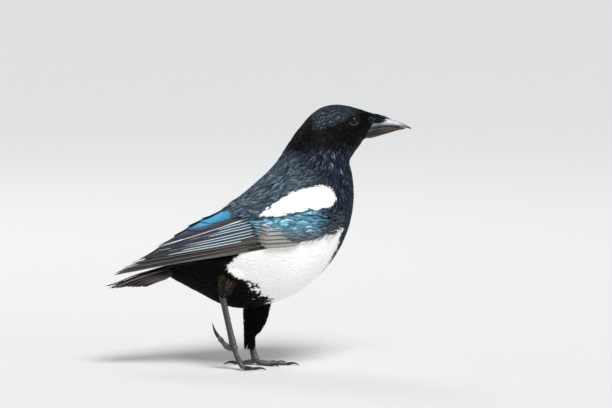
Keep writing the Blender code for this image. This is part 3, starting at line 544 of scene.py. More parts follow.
class Chart:
    """A surface read smoothly from a grid of its points."""

    def __init__(self, points, closed):
        self.points = points
        self.closed = closed
        self.along = np.gradient(points, axis=0)
        if closed:
            self.across = (np.roll(points, -1, 1) - np.roll(points, 1, 1)) / 2
        else:
            self.across = np.gradient(points, axis=1)
        self.normals = unit(np.cross(self.along, self.across))
        away = points - points.mean(1, keepdims=True)
        if (self.normals * away).sum() < 0:
            self.normals = -self.normals

    def read(self, grid, i, j):
        """A grid's values between its points."""
        rows, columns = self.points.shape[:2]
        i = np.clip(i, 0, rows - GRID_END)
        if not self.closed:
            j = np.clip(j, 0, columns - GRID_END)
        low_i, low_j = np.floor(i).astype(int), np.floor(j).astype(int)
        part_i, part_j = (i - low_i)[..., None], (j - low_j)[..., None]
        low_j, high_j = low_j % columns, (low_j + 1) % columns
        near = grid[low_i, low_j] * (1 - part_j) + grid[low_i, high_j] * part_j
        far = grid[low_i + 1, low_j] * (1 - part_j) + grid[low_i + 1, high_j] * part_j
        return near * (1 - part_i) + far * part_i

    def place(self, i, j):
        """Points and normals at grid places, straight on past the ends."""
        held = np.clip(i, 0, self.points.shape[0] - GRID_END)
        points = self.read(self.points, held, j) + self.read(self.along, held, j) * (i - held)[..., None]
        return points, unit(self.read(self.normals, held, j))

    def steps(self, i, j, direction):
        """Grid steps that move a point by a direction in the surface."""
        along, across = self.read(self.along, i, j), self.read(self.across, i, j)
        aa, ac, cc = (along * along).sum(-1), (along * across).sum(-1), (across * across).sum(-1)
        da, dc = (along * direction).sum(-1), (across * direction).sum(-1)
        whole = aa * cc - ac * ac
        return (da * cc - dc * ac) / whole, (dc * aa - da * ac) / whole


def body_chart():
    """Body, neck and head: rows run from tail root to face, columns round from the top by the left."""
    turns = np.linspace(0, 2 * np.pi, BODY_COLUMNS, endpoint=False)
    rows = resample(BODY, (len(BODY) - 1) * BODY_STEPS + 1)
    top_x, top_z, low_x, low_z, half, keel = rows.T[:, :, None]
    rise = signed_power(np.cos(turns), 2 / BODY_ROUNDNESS)
    side = signed_power(np.sin(turns), 2 / BODY_ROUNDNESS)
    x = (top_x + low_x) / 2 + rise * (top_x - low_x) / 2
    y = half * side * (1 - keel * np.maximum(-rise, 0))
    z = (top_z + low_z) / 2 + rise * (top_z - low_z) / 2
    return Chart(np.stack(np.broadcast_arrays(x, y, z), -1), True)


def wrap_chart():
    """The lay of the left wing: rows run along x, a millimetre each, columns from the back down.

    The least turn from the midline keeps the two wings apart on the back.
    """
    xs = np.arange(WRAP[0][0], WRAP[-1][0] + 0.5, 1.0)
    top, middle, half = curve(WRAP, xs).T[:, :, None]
    least = np.arcsin(np.minimum(MIDLINE_CLEAR / half, 1.0) ** (WRAP_ROUNDNESS / 2))
    turns = least + np.linspace(0, 1, WRAP_COLUMNS) * (WRAP_END - least)
    power = 2 / WRAP_ROUNDNESS
    upper = turns <= np.pi / 2
    y = half * np.where(upper, np.abs(np.sin(turns)) ** power, np.sin(turns))
    rise = (top - middle) * np.maximum(np.cos(turns), 0) ** power
    z = middle + np.where(upper, rise, WRAP_LOW * np.cos(turns))
    x = np.broadcast_to(xs[:, None], y.shape)
    return Chart(np.stack([x, y, z], -1), False)


def wrap_place(chart, x, z):
    """The grid place on the lay of the wing of a point of the side view."""
    i = x - WRAP[0][0]
    columns = np.arange(WRAP_COLUMNS) * 1.0
    column = chart.read(chart.points, np.full(WRAP_COLUMNS, i), columns)
    return i, np.interp(-z, -side_view(column)[1], columns)


def tree_of(points):
    """A search tree of points."""
    tree = kdtree.KDTree(len(points))
    for k, point in enumerate(points):
        tree.insert(point, k)
    tree.balance()
    return tree


def spread(chart, spacing, keep, draw):
    rows, columns = chart.points.shape[:2]
    finer = 1.0
    cells = columns if chart.closed else columns - 1
    i, j = np.meshgrid(np.arange(rows - 1), np.arange(cells), indexing="ij")
    i, j = i.ravel(), j.ravel()
    area = np.linalg.norm(np.cross(chart.along[i, j], chart.across[i, j]), axis=1)
    share = np.where(keep(chart.points[i, j], i), area / (spacing(i) * finer) ** 2, 0)
    count = int(share.sum() * TRIES)
    chosen = draw.choice(len(share), count, p=share / share.sum())
    i = i[chosen] + draw.random(count)
    j = j[chosen] + draw.random(count)
    points, _ = chart.place(i, j)
    apart = np.broadcast_to(spacing(i) * finer * CLOSEST, count)
    tree = tree_of(points)
    alive = np.ones(count, bool)
    for k in range(count):
        if alive[k]:
            for _, other, _ in tree.find_range(points[k], apart[k]):
                alive[other] = other == k
    return i[alive], j[alive]


def vane_shape(rows, columns):
    """Places along and across a vane, and its faces: first its arched top, then its rim and ends."""
    starts = range(0, (rows - 1) * columns, columns)
    faces = [(a, a + columns, a + columns + 1, a + 1)
             for start in starts for a in range(start, start + columns - 1)]
    faces += [(a, a + columns - 1, a + 2 * columns - 1, a + columns) for a in starts]
    faces += [tuple(range(columns)), tuple(range((rows - 1) * columns, rows * columns))[::-1]]
    return np.linspace(0, 1, rows), np.linspace(-1, 1, columns), faces


def vane_places(t, u):
    """Places in a vane's own square, from its root and one side."""
    return np.stack(np.broadcast_arrays(t[:, None], (u[None, :] + 1) / 2), -1).reshape(-1, 2)


def vane_maps(chart, i, j, draw):
    """The bake map, each vane a small patch at its root's place, and the map that its barbs are drawn on."""
    t, u, _ = vane_shape(VANE_ROWS, VANE_COLUMNS)
    root = np.stack([i / (chart.points.shape[0] - 1), (j / chart.points.shape[1]) % 1.0], -1)
    root = 0.01 + 0.98 * np.clip(root, 0, 1)
    local = vane_places(t, u)
    own = draw.integers(0, 400, len(i))[:, None, None] * BARB_STEP
    return {"OFBake": root[:, None] + (local - 0.5) * PATCH, "vane": local * BODY_BARBS + own}


def cell_maps(t, u, cells, numbers):
    """The bake map, with each feather in a cell of its own, and the map that its barbs are drawn on."""
    local = vane_places(t, u)
    corner = np.array([(k % cells, k // cells) for k in numbers])[:, None]
    bake = (corner + CELL_MARGIN + (1 - 2 * CELL_MARGIN) * local) / cells
    return {"OFBake": bake, "vane": local * QUILL_BARBS + corner * BARB_STEP}


def link(name, data):
    """A new object in the scene."""
    made = bpy.data.objects.new(name, data)
    bpy.context.scene.collection.objects.link(made)
    return made


def paint(mesh, tint, gloss=None):
    """Give a mesh its colour, and its gloss if it has one, point by point."""
    colours = np.ones((len(mesh.vertices), 4), np.float32)
    colours[:, :3] = np.reshape(tint, (-1, 3))
    mesh.attributes.new("tint", "FLOAT_COLOR", "POINT").data.foreach_set("color", colours.ravel())
    if gloss is not None:
        values = np.ravel(gloss).astype(np.float32)
        mesh.attributes.new("gloss", "FLOAT", "POINT").data.foreach_set("value", values)


def add_piece(name, mesh, material):
    """A piece of the bird from its mesh."""
    mesh.materials.append(material)
    PIECES.append(link(name, mesh))
    return PIECES[-1]


def mesh_piece(name, points, faces, material, tint, gloss, maps, tops, flip=False):
    """One mesh of many like vanes. points holds each vane's own, and faces those of one vane.

    The first faces of each vane, tops in number, are shaded smooth. The rest are flat and keep the rim crisp.
    """
    count = len(points)
    points = points.reshape(count, -1, 3)
    size = points.shape[1]
    if flip:
        points = points * np.array([1.0, -1.0, 1.0])
        faces = [f[::-1] for f in faces]
    template = np.concatenate([np.array(f) for f in faces])
    lengths = np.array([len(f) for f in faces])
    corners = (template[None] + np.arange(count)[:, None] * size).ravel()
    starts = np.concatenate([[0], np.cumsum(np.tile(lengths, count))[:-1]])
    mesh = bpy.data.meshes.new(name)
    mesh.vertices.add(count * size)
    mesh.vertices.foreach_set("co", (points * MM).astype(np.float32).ravel())
    mesh.loops.add(len(corners))
    mesh.loops.foreach_set("vertex_index", corners.astype(np.int32))
    mesh.polygons.add(count * len(faces))
    mesh.polygons.foreach_set("loop_start", starts.astype(np.int32))
    mesh.update(calc_edges=True)
    paint(mesh, tint, np.broadcast_to(gloss, (count, size)))
    for key, values in maps.items():
        layer = mesh.uv_layers.new(name=key)
        layer.data.foreach_set("uv", values.reshape(-1, 2)[corners].astype(np.float32).ravel())
    mesh.polygons.foreach_set("use_smooth", np.tile(np.arange(len(faces)) < tops, count))
    return add_piece(name, mesh, material)


def lay(chart, i, j, heading, size, draw, lift=None, soft=0.0):
    """Contour feathers on a chart, rooted at i and j.

    heading is the direction of each in space, which is turned into the surface. size holds each one's length,
    width, skin depth and tip height. lift gives extra height for points of the surface, as over the edge of a
    wing. soft is one for white feathers, which lie flatter.
    """
    t, u, faces = vane_shape(VANE_ROWS, VANE_COLUMNS)
    t, u = t[None, :, None], u[None, None, :]
    column = lambda v: v[:, None, None]
    length, width, depth, tip = (column(s) for s in size)
    count = len(i)
    _, normal = chart.place(i, j)
    ahead = unit(heading - normal * (heading * normal).sum(-1, keepdims=True))
    ahead, aside = turned(ahead, np.cross(normal, ahead), draw.normal(0, SPLAY, (count, 1)))
    ahead_i, ahead_j = chart.steps(i, j, ahead)
    aside_i, aside_j = chart.steps(i, j, aside)
    ragged = RAGGED * draw.uniform(-1, 1, (count, 1, VANE_COLUMNS))
    along = (t - ROUND_END * u**2 * t**3 + ragged * t**4) * length
    outline = np.interp(t, VANE_AT, VANE_WIDE)
    across = width / 2 * outline * u
    at_i = column(i) + along * column(ahead_i) + across * column(aside_i)
    at_j = column(j) + along * column(ahead_j) + across * column(aside_j)
    points, normals = chart.place(at_i, at_j)
    soft = column(np.broadcast_to(soft, count))
    stiff = 1 - SOFT_FLATNESS * soft
    high = -depth + (depth + tip) * (1 - (1 - t) ** 1.7) - stiff * CUPPED * width * outline * u**2
    high = high + draw.normal(0, ROLL, (count, 1, 1)) * stiff * across
    high = high - SOFT_DIVE * soft * smooth(t, 0.55, 1.0)
    if lift is not None:
        high = high + lift(points, normals)
    return points + normals * high[..., None], faces


def coat_marks(points, wander):
    """How white the coat is at points, nothing or one: the shoulder patches, the flanks and the belly."""
    x, z = side_view(points)
    tongue = TONGUES * np.maximum(wander[0], -0.3) / EDGE_WANDER * smooth(z, 66, 50) * smooth(x, 22, -2)
    x, z = x + wander[0], z + wander[1]
    return (inside(SHOULDER_PATCH, x, z) | inside(FLANK_PATCH, x + tongue, z)).astype(float)


def coat_colour(points, station):
    """The dark coat's colour by place: vent, breast, neck and head, with painted sheen on the mantle and the
    crown.
    """
    x, _, z = points.T
    over_line = z - MANTLE_LINE[0] - x * MANTLE_LINE[1]
    zones = [
        (BREAST, smooth(x, *BREAST_X) * smooth(z, *BREAST_Z)),
        # painted sheen on the mantle
        (MANTLE_SHEEN, smooth(over_line, *MANTLE_Z) * smooth(station, *MANTLE_STATIONS)),
        (NECK, smooth(station, *NECK_STATIONS) * (1 - smooth(x, *FACE_X) * 0.3)),
        (HEAD, smooth(z, *HEAD_Z)),
        # painted sheen on the crown
        (CROWN_SHEEN, smooth(z - 0.3 * (x - 60), *CROWN_Z) * smooth(x, *CROWN_BACK_X) * smooth(x, *CROWN_FRONT_X)),
    ]
    colour = VENT
    for zone, share in zones:
        colour = blend(colour, zone, share)
    return colour


def glint_share(x, z):
    """How much painted glint dark feathers get: most below the cheek and on the crown, none on the nape."""
    share = NECK_GLINT * smooth(z, *NECK_GLINT_Z) * (1 - smooth(z, *NECK_GLINT_END))
    for strength, at_x, at_z, slope, wide, high in GLINT_SPOTS:
        beside, above = (x - at_x) / wide, (z - at_z - slope * (x - at_x)) / high
        share = share + strength * np.exp(-(beside**2) - above**2)
    return share * (1 - smooth(x, *NAPE_X) * smooth(z, *NAPE_Z))


def over_wing(points, normals):
    """How much the coat must rise to lie over the upper and front edge of the folded wing."""
    x, y, z = points[..., 0], points[..., 1], points[..., 2]
    near = smooth(distance_to(WING_COVER, *side_view(points)), COVER_REACH, 1.0)
    near = np.where(behind_wing(points), 1.0, near)
    top, middle, half = (v.reshape(x.shape) for v in curve(WRAP, x.ravel()).T)
    high = np.where(z > middle, (z - middle) / (top - middle), (middle - z) / WRAP_LOW)
    share = (np.abs(y / half) ** WRAP_ROUNDNESS + np.abs(high) ** WRAP_ROUNDNESS) ** (1 / WRAP_ROUNDNESS)
    gap = np.hypot(y, z - middle) * (1 / np.maximum(share, 0.2) - 1)
    side = (1 - smooth(normals[..., 0], 0.35, 0.8)) * smooth(z, 97, 107) * (1 - 0.5 * smooth(x, -13, -26))
    return near * side * (np.clip(gap, 0, COVER_MOST) + COVER_LIFT)


def body_flow(chart, i, j):
    """The lie of the coat: from the face back, down the breast, and back along the flanks."""
    points, normal = chart.place(i, j)
    spine = -unit(chart.read(chart.along, i, j))
    down = -0.20 - 0.20 * smooth(points[:, 2], 70, 125)
    level = np.stack([np.full(len(i), -0.93), np.zeros(len(i)), down], -1)
    station = i / BODY_STEPS
    sideways = (normal[:, 1] ** 2 * smooth(station, 12.0, 8.6))[:, None]
    return spine * (1 - sideways) + unit(level) * sideways


def coat_sizes(station, pale, draw):
    """Length, width, skin depth and tip height of contour feathers by station, and how white they are."""
    length, width, _, depth = curve(COAT, station).T
    length = length * draw.uniform(0.85, 1.15, len(station))
    tip = draw.uniform(0.0, 0.14, len(station)) * depth
    width = width * draw.uniform(0.88, 1.12, len(station))
    return length, width * (1 + SOFT_WIDER * pale), depth * (1 - SOFT_LOWER * pale), tip * (1 - pale)


def make_coat(chart, materials):
    """Contour feathers over the body, neck and head."""
    draw = np.random.default_rng(SEEDS["coat"])

    def keep(points, i):
        x, y, z = points.T
        side = np.abs(y)
        edge = distance_to(WING_UNDER, *side_view(points)) < FLANK_UNDER * (1 - 0.7 * smooth(x, 35, 60))
        eye = np.hypot(x - EYE_X, z - EYE_Z) < EYE_ROOM
        hidden = behind_wing(points) & (side > BACK_HALF) & ~edge
        return ~hidden & ~(eye & (side > EYE_SIDE)) & ~inside(GAPE_PATCH, x, z)

    i, j = spread(chart, lambda i: curve(COAT, i / BODY_STEPS)[:, 2], keep, draw)
    station = i / BODY_STEPS
    roots, _ = chart.place(i, j)
    x, z = roots[:, 0], roots[:, 2]
    pale = coat_marks(roots, np.zeros(2))
    length, width, depth, tip = coat_sizes(station, pale, draw)
    flow = body_flow(chart, i, j)
    wander = draw.normal(0, EDGE_WANDER, (2, len(i)))
    end = MANTLE_END + MANTLE_WANDER * wander[0]
    under = behind_wing(roots) | (x < end) & (z > np.interp(x, *zip(*sorted(WING_UNDER))))
    colour = coat_colour(roots + unit(flow) * length[:, None] * 0.7, station)
    colour = colour * (1 - RUMP_SHADE * smooth(x - end, 2, -2) * (z > RUMP_Z))[:, None]
    # A painted glint: some dark feathers lightened as if they caught silky light
    feather_glint = smooth(draw.random(len(i)), 0.5, 1.0) ** 2 * glint_share(x, z)
    colour = colour + PAINTED_GLINT * feather_glint[:, None]
    tip = np.where(under, np.interp(smooth(x, *UNDER_FRONT_X), [0, 1], UNDER_TIPS), tip)
    size = (length, width, depth, tip)
    tone = np.exp(draw.normal(0, TONE_SPREAD, len(i)))
    # Painted shade on each vane, darkest at its root under the feathers above
    shade = np.linspace(ROOT_SHADE, 1.0, VANE_ROWS)[:, None, None]
    for number, (mask, lift) in enumerate([(~under, over_wing), (under, None)]):
        chosen = np.flatnonzero(mask)
        for part in range(0, len(chosen), FEATHERS_PER_PIECE):
            k = chosen[part:part + FEATHERS_PER_PIECE]
            points, faces = lay(chart, i[k], j[k], flow[k], [s[k] for s in size], draw, lift, pale[k])
            maps = vane_maps(chart, i[k], j[k], draw)
            white = coat_marks(points, wander[:, k, None, None])
            dark = (colour * tone[:, None])[k, None, None] * shade
            name = f"coat_{number}_{part // FEATHERS_PER_PIECE}"
            piece = mesh_piece(name, points, faces, materials["coat"], blend(dark, WHITE, white),
                               1 - white.reshape(len(k), -1), maps, VANE_TOPS)


def quill(chart, root, tip, tier, depth, bow, draw):
    """One flight feather or covert on the lay of the wing, from root to tip in side view.

    The shaft is its middle column. The outer vane is its lower side, raised by tilt over the feather below.
    """
    rows = tier["rows"]
    t, u, faces = vane_shape(rows, QUILL_COLUMNS)
    u = signed_power(u, 1.25)
    run = tip - root
    side = np.array([-run[1], run[0]]) / np.linalg.norm(run)
    path = root + run * t[:, None] + side * (bow * np.sin(np.pi * t))[:, None]
    places = np.array([wrap_place(chart, x, z) for x, z in path])
    middle, normal = chart.place(places[:, 0], places[:, 1])
    ahead = unit(np.gradient(middle, axis=0))
    ahead = unit(ahead - normal * (ahead * normal).sum(-1, keepdims=True))
    upward = np.cross(normal, ahead)
    upward *= np.sign((upward[:, 2]).sum())
    step_i, step_j = chart.steps(places[:, 0], places[:, 1], upward)
    half = np.where(u > 0, *tier["wide"])[None, :]
    far = t[:, None]
    swell = np.interp(far, [0, 0.12, 0.35], [0.45, 0.8, 1.0])
    end = 1 - tier["point"] * np.abs(u) ** 2 * smooth(far, 0.6, 1.0) * (half / np.linalg.norm(run)) * 2.6
    across = half * u * swell * (1 - 0.45 * smooth(far, 0.86, 1.0))
    slip = (far * end - far) * (rows - 1)
    wear = tier["ragged"] * draw.uniform(-1, 0.3, (1, QUILL_COLUMNS))
    slip = slip + wear * smooth(far, 0.8, 1.0) * (rows - 1) * 0.1
    at = np.clip(np.arange(rows)[:, None] + slip, 0, rows - 1)
    low = np.minimum(np.floor(at).astype(int), rows - 2)
    part = at - low
    mix = lambda values: values[low] * (1 - part) + values[low + 1] * part
    at_i = mix(places[:, 0]) + across * mix(step_i)
    at_j = mix(places[:, 1]) + across * mix(step_j)
    points, normals = chart.place(at_i, at_j)
    high = -depth - ROOT_PLUNGE * np.maximum(1 - far / 0.25, 0)
    high = high - across * math.tan(math.radians(tier["tilt"]))
    high = high - QUILL_CUP * half * u**2 + SHAFT_RISE * (np.abs(u) < SHAFT)
    return points + normals * high[..., None], faces, t, u


def quill_colour(tier, share, t, u, draw):
    """Colour of one wing feather along its length and across, with its worn edges."""
    base = blend(*tier["colours"], share)
    tip = tier["tip_colour"] or base * 0.8
    grid = np.broadcast_to(base, (len(t), len(u), 3)) * draw.uniform(0.85, 1.15)
    grid = blend(grid, tip, smooth(t, 0.7, 1.0)[:, None])
    grid = blend(grid, tier["inner_colour"], smooth(u, 0.15, 0.7) * tier["inner"])
    grid = blend(grid, tier["edge_colour"], smooth(-u, *tier["edge_from"]) * tier["edge"])
    return blend(grid, SHAFT_COLOUR, (np.abs(u) < SHAFT) * 0.6)


def tertial_colour(points, lower):
    """The blue back edge of the folded wing: bright in front, then deep blue, then near black."""
    x, z = side_view(points)
    blue = blend(TERTIAL_BLACK, TERTIAL_DEEP, smooth(x, *TERTIAL_DEEP_X))
    blue = blend(blue, TERTIAL_CYAN, smooth(x, *TERTIAL_CYAN_X))
    return blend(lower, blue, smooth(z - TERTIAL_LINE[0] - x * TERTIAL_LINE[1], *TERTIAL_EDGE))


def make_wings(materials):
    """Both folded wings, feather by feather, from the lowest tier up."""
    chart = wrap_chart()
    made = {22: [], 10: []}
    draw = np.random.default_rng(SEEDS["wings"])
    number = 0
    for tier in WING_TIERS:
        tier = TIER | tier
        count = tier["count"]
        roots, tips = resample(tier["roots"], count), resample(tier["tips"], count)
        for k in range(count):
            tip = tips[k] + draw.normal(0, tier["wander"], 2) * np.array([1.0, 0.35])
            bow = draw.normal(0, 0.25) + tier["bow"]
            depth = tier["depth"] + tier["sink"] * k
            points, faces, t, u = quill(chart, roots[k], tip, tier, depth, bow, draw)
            colour = quill_colour(tier, k / max(count - 1, 1), t, u, draw)
            if tier["painted"]:
                colour = tertial_colour(points, colour)
            made[tier["rows"]].append((points, colour, tier["gloss"], number, (t, u, faces)))
            number += 1
    cells = math.ceil(math.sqrt(number))
    for side in SIGNS:
        for rows, feathers in made.items():
            points, tints, gloss, numbers, shapes = zip(*feathers)
            t, u, faces = shapes[0]
            tops = (rows - 1) * (QUILL_COLUMNS - 1)
            piece = mesh_piece(f"wing_{side}_{rows}", np.stack(points), faces, materials["quill"], tints,
                               np.reshape(gloss, (-1, 1)), cell_maps(t, u, cells, numbers), tops,
                               side == "right")
            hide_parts(f"wing_{side}")


def make_coverts(materials):
    """The small coverts of both wings, which lie over the roots of the tiers below them."""
    chart = wrap_chart()
    draw = np.random.default_rng(SEEDS["coverts"])
    length, width, gap, depth = COVERT_SIZE
    i, j = spread(chart, lambda i: gap, lambda points, i: inside(COVERT_AREA, *side_view(points)), draw)
    x, z = side_view(chart.place(i, j)[0])
    count = len(i)
    smaller = 1 - COVERT_SMALLER * smooth(x, 30, 60)
    length = length * smaller * draw.uniform(0.85, 1.15, count)
    width = width * smaller * draw.uniform(0.85, 1.15, count)
    size = (length, width, np.full(count, depth), draw.uniform(-0.25, 0.15, count))
    flow = unit(np.stack([np.full(count, -1.0), np.zeros(count), -0.04 - 0.25 * smooth(x, 36, 10)], -1))
    points, faces = lay(chart, i, j, flow, size, draw)
    colour = blend(COVERT_TEAL, COVERT_GREY, smooth(z, 104, 98))
    # A painted highlight: some coverts mixed toward a pale cyan glint
    glinting = smooth(draw.random(count), 0.45, 0.95) * smooth(x, 56, 44) * smooth(z, 97, 103)
    colour = blend(colour, COVERT_CYAN_GLINT, glinting * 0.8)
    colour = blend(colour, COVERT_SLATE, smooth(x + draw.normal(0, 3, count), 48, 60))
    # Each vane a little darker toward its root, a painted shade, and lighter toward one side
    tone = 1.0 + 0.25 * np.linspace(-1, 1, VANE_COLUMNS) + np.linspace(-0.2, 0.15, VANE_ROWS)[:, None]
    tint = colour[:, None, None] * draw.uniform(0.75, 1.25, (count, 1, 1, 1)) * tone[..., None]
    maps = vane_maps(chart, i, j, draw)
    for side in SIGNS:
        piece = mesh_piece(f"coverts_{side}", points, faces, materials["quill"], tint, COVERT_GLOSS, maps,
                           VANE_TOPS, side == "right")
        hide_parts(f"wing_{side}")


def make_tail(materials):
    """Twelve worn tail feathers in pairs, the middle pair on top, over the tail coverts' roots."""
    draw = np.random.default_rng(SEEDS["tail"])
    lean = math.radians(TAIL_LEAN)
    back = np.array([-math.cos(lean), 0.0, -math.sin(lean)])
    rise = np.array([-math.sin(lean), 0.0, math.cos(lean)])
    start = np.array([TAIL_ROOT[0], 0.0, TAIL_ROOT[1]]) + back * TAIL_SUNK
    rows, columns = TAIL_GRID
    t, u, faces = vane_shape(rows, columns)
    far, rim = t[:, None], np.abs(u)
    first, second, each = TAIL_ASIDE
    sheen_share, edge_share = TAIL_SHARES
    points, tints = [], []
    for i, length in enumerate(TAIL_LENGTHS):
        length -= TAIL_SUNK
        pair, side = i // 2, (1 if i % 2 else -1)
        level = pair * TAIL_STEP + (TAIL_STEP if i else 0.0)
        aside = side * (second + (pair - 1) * each if pair else first)
        heading = math.radians(side * pair * TAIL_FAN)
        along = unit(np.array([back[0] * math.cos(heading), -back[0] * math.sin(heading), back[2]]))
        across = unit(np.cross([0.0, 0.0, 1.0], along))
        across, face = turned(across, unit(np.cross(along, across)), side * math.radians(TAIL_ROLL) * pair)
        wear = draw.uniform(-1, 0, columns) * TAIL_WEAR
        wear = wear + TAIL_WEAR * 0.6 * np.where(np.arange(columns) % 3 == i % 3, -1, 0.3)
        reach = far * length + wear * smooth(far, 0.55, 1.0)
        reach = reach - length * TAIL_ROUND * rim**2 * smooth(far, 0.7, 1.0)
        width = TAIL_WIDTH / 2 * np.interp(far, TAIL_AT, TAIL_WIDE) * u
        fray = draw.normal(0, TAIL_FRAY, (1, columns)) * smooth(far, 0.75, 1.0)
        lift = TAIL_SHAFT * (rim < SHAFT) - TAIL_ARCH * u**2 + fray
        lift = lift - TAIL_DROOP * smooth(far, 0.45, 1.0) * (1 + 0.5 * draw.random())
        root = start - rise * level + np.array([0.0, aside, 0.0])
        points.append(root + along * reach[..., None] + across * (width + fray * 0.6)[..., None]
                      + face * lift[..., None])
        grid = np.broadcast_to(TAIL_COLOURS[0], (rows, columns, 3)) * draw.uniform(0.75, 1.25)
        # A painted sheen along the middle of each feather
        sheen = smooth(far, 0.1, 0.35) * smooth(far, 0.75, 0.45) * (rim < 0.7)
        grid = blend(grid, TAIL_COLOURS[1], sheen * sheen_share)
        tints.append(blend(grid, TAIL_COLOURS[2], smooth(rim, 0.75, 1.0) * edge_share))
    maps = cell_maps(t, u, 4, range(len(points)))
    piece = mesh_piece("tail_feathers", np.stack(points), faces, materials["quill"], tints, TAIL_GLOSS, maps,
                       (rows - 1) * (columns - 1))
    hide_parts("tail")


def tube_chart(path, radii, columns, up=(0.0, 1.0, 0.0)):
    """A chart round a path, with a half depth and a half width at each of its points."""
    path = np.array(path, float)
    along = unit(np.gradient(path, axis=0))
    side = unit(np.array(up) - along * (along @ np.array(up))[:, None])
    deep = np.cross(along, side)
    turn = np.linspace(0, 2 * np.pi, columns, endpoint=False)
    ring = (np.cos(turn)[None, :, None] * deep[:, None] * radii[:, 0][:, None, None]
            + np.sin(turn)[None, :, None] * side[:, None] * radii[:, 1][:, None, None])
    return Chart(path[:, None] + ring, True)


def thigh_rings(side, rings, count):
    """Middles of evenly spaced rings along one thigh, and their half depths and half widths."""
    rows = resample(rings, count)
    return rows[:, :3] * (1, SIGNS[side], 1), rows[:, 3:]


def thigh_chart(side):
    """The feathered part of one leg, from the flank down to the heel or to the end of its loose feathers."""
    return tube_chart(*thigh_rings(side, THIGHS[side] + FRINGE[side], THIGH_ROWS), THIGH_COLUMNS)


def make_thigh(side, materials):
    """The long, loose feathers of one thigh, lying down towards the heel."""
    draw = np.random.default_rng(SEEDS[side])
    chart = thigh_chart(side)
    i, j = spread(chart, lambda i: THIGH_SPACING, lambda points, i: i > THIGH_FROM[side], draw)
    count = len(i)
    share = i / (THIGH_ROWS - 1)
    shorter = 0.45 * share if side == "right" else 0.5 * smooth(share, 0.75, 1.0)
    length = THIGH_LENGTH * (1 - shorter) * draw.uniform(0.8, 1.2, count)
    width = THIGH_WIDTH * (1 - 0.4 * share) * draw.uniform(0.8, 1.2, count)
    depth = THIGH_DEPTH[0] - (THIGH_DEPTH[0] - THIGH_DEPTH[1]) * share
    size = (length, width, depth, depth * draw.uniform(0.0, 0.6, count))
    points, faces = lay(chart, i, j, unit(chart.read(chart.along, i, j)), size, draw)
    roots, _ = chart.place(i, j)
    brown = smooth(roots[:, 0], *BROWN_X) * smooth(roots[:, 2], *BROWN_Z) * (side == "right")
    colour = blend(VENT, THIGH, brown) * np.exp(draw.normal(0, TONE_SPREAD, (count, 1)))
    white = coat_marks(points, draw.normal(0, EDGE_WANDER, (2, count, 1, 1)))
    piece = mesh_piece(f"thigh_coat_{side}", points, faces, materials["coat"],
                       blend(colour[:, None, None], WHITE, white), THIGH_GLOSS, vane_maps(chart, i, j, draw),
                       VANE_TOPS)


def ring_faces(rows, columns, first=0):
    """Faces of a closed tube of rings, with its two ends."""
    faces = []
    for r in range(rows - 1):
        for c in range(columns):
            a, b = first + r * columns + c, first + r * columns + (c + 1) % columns
            faces.append((a, a + columns, b + columns, b))
    faces.append(tuple(first + c for c in range(columns)))
    faces.append(tuple(first + (rows - 1) * columns + c for c in range(columns))[::-1])
    return faces


def smooth_all(mesh):
    mesh.polygons.foreach_set("use_smooth", np.ones(len(mesh.polygons), bool))


def solid(name, points, faces, material, tint):
    """A single closed piece from its points in millimetres."""
    mesh = bpy.data.meshes.new(name)
    mesh.from_pydata([tuple(p) for p in points.reshape(-1, 3) * MM], [], faces)
    paint(mesh, np.broadcast_to(tint, points.shape))
    smooth_all(mesh)
    piece = add_piece(name, mesh, material)
    return piece


def make_skin(charts, depths, material):
    """One skin under the whole coat: the body and both thighs, joined without a seam."""
    points, faces = [], []
    first = 0
    for chart, depth in zip(charts, depths):
        rows, columns = chart.points.shape[:2]
        points.append((chart.points - chart.normals * depth[:, None, None]).reshape(-1, 3))
        faces += ring_faces(rows, columns, first)
        first += rows * columns
    mesh = bpy.data.meshes.new("skin")
    mesh.from_pydata([tuple(p) for p in np.concatenate(points) * MM], [], faces)
    made = link("skin", mesh)
    remesh = made.modifiers.new("join", "REMESH")
    remesh.mode = "VOXEL"
    remesh.voxel_size = SKIN_VOXEL * MM
    made.modifiers.new("even", "SMOOTH").iterations = 4
    joined = bpy.data.meshes.new_from_object(made.evaluated_get(bpy.context.evaluated_depsgraph_get()))
    made.modifiers.clear()
    made.data = joined
    joined.materials.append(material)
    smooth_all(joined)
    places = np.array([v.co for v in joined.vertices]) / MM
    tree = tree_of(charts[0].points.reshape(-1, 3))
    nearest = np.array([tree.find(p)[1] for p in places])
    station = (nearest // BODY_COLUMNS) / BODY_STEPS
    # The skin takes the coat's colours darkened, and the white at 0.9, as painted shade in the gaps between
    # feathers
    paint(joined, blend(coat_colour(places, station) * 0.6, WHITE * 0.9, coat_marks(places, np.zeros(2))))
    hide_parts("head", "neck", "torso", "thigh_left", "thigh_right")
    PIECES.append(made)


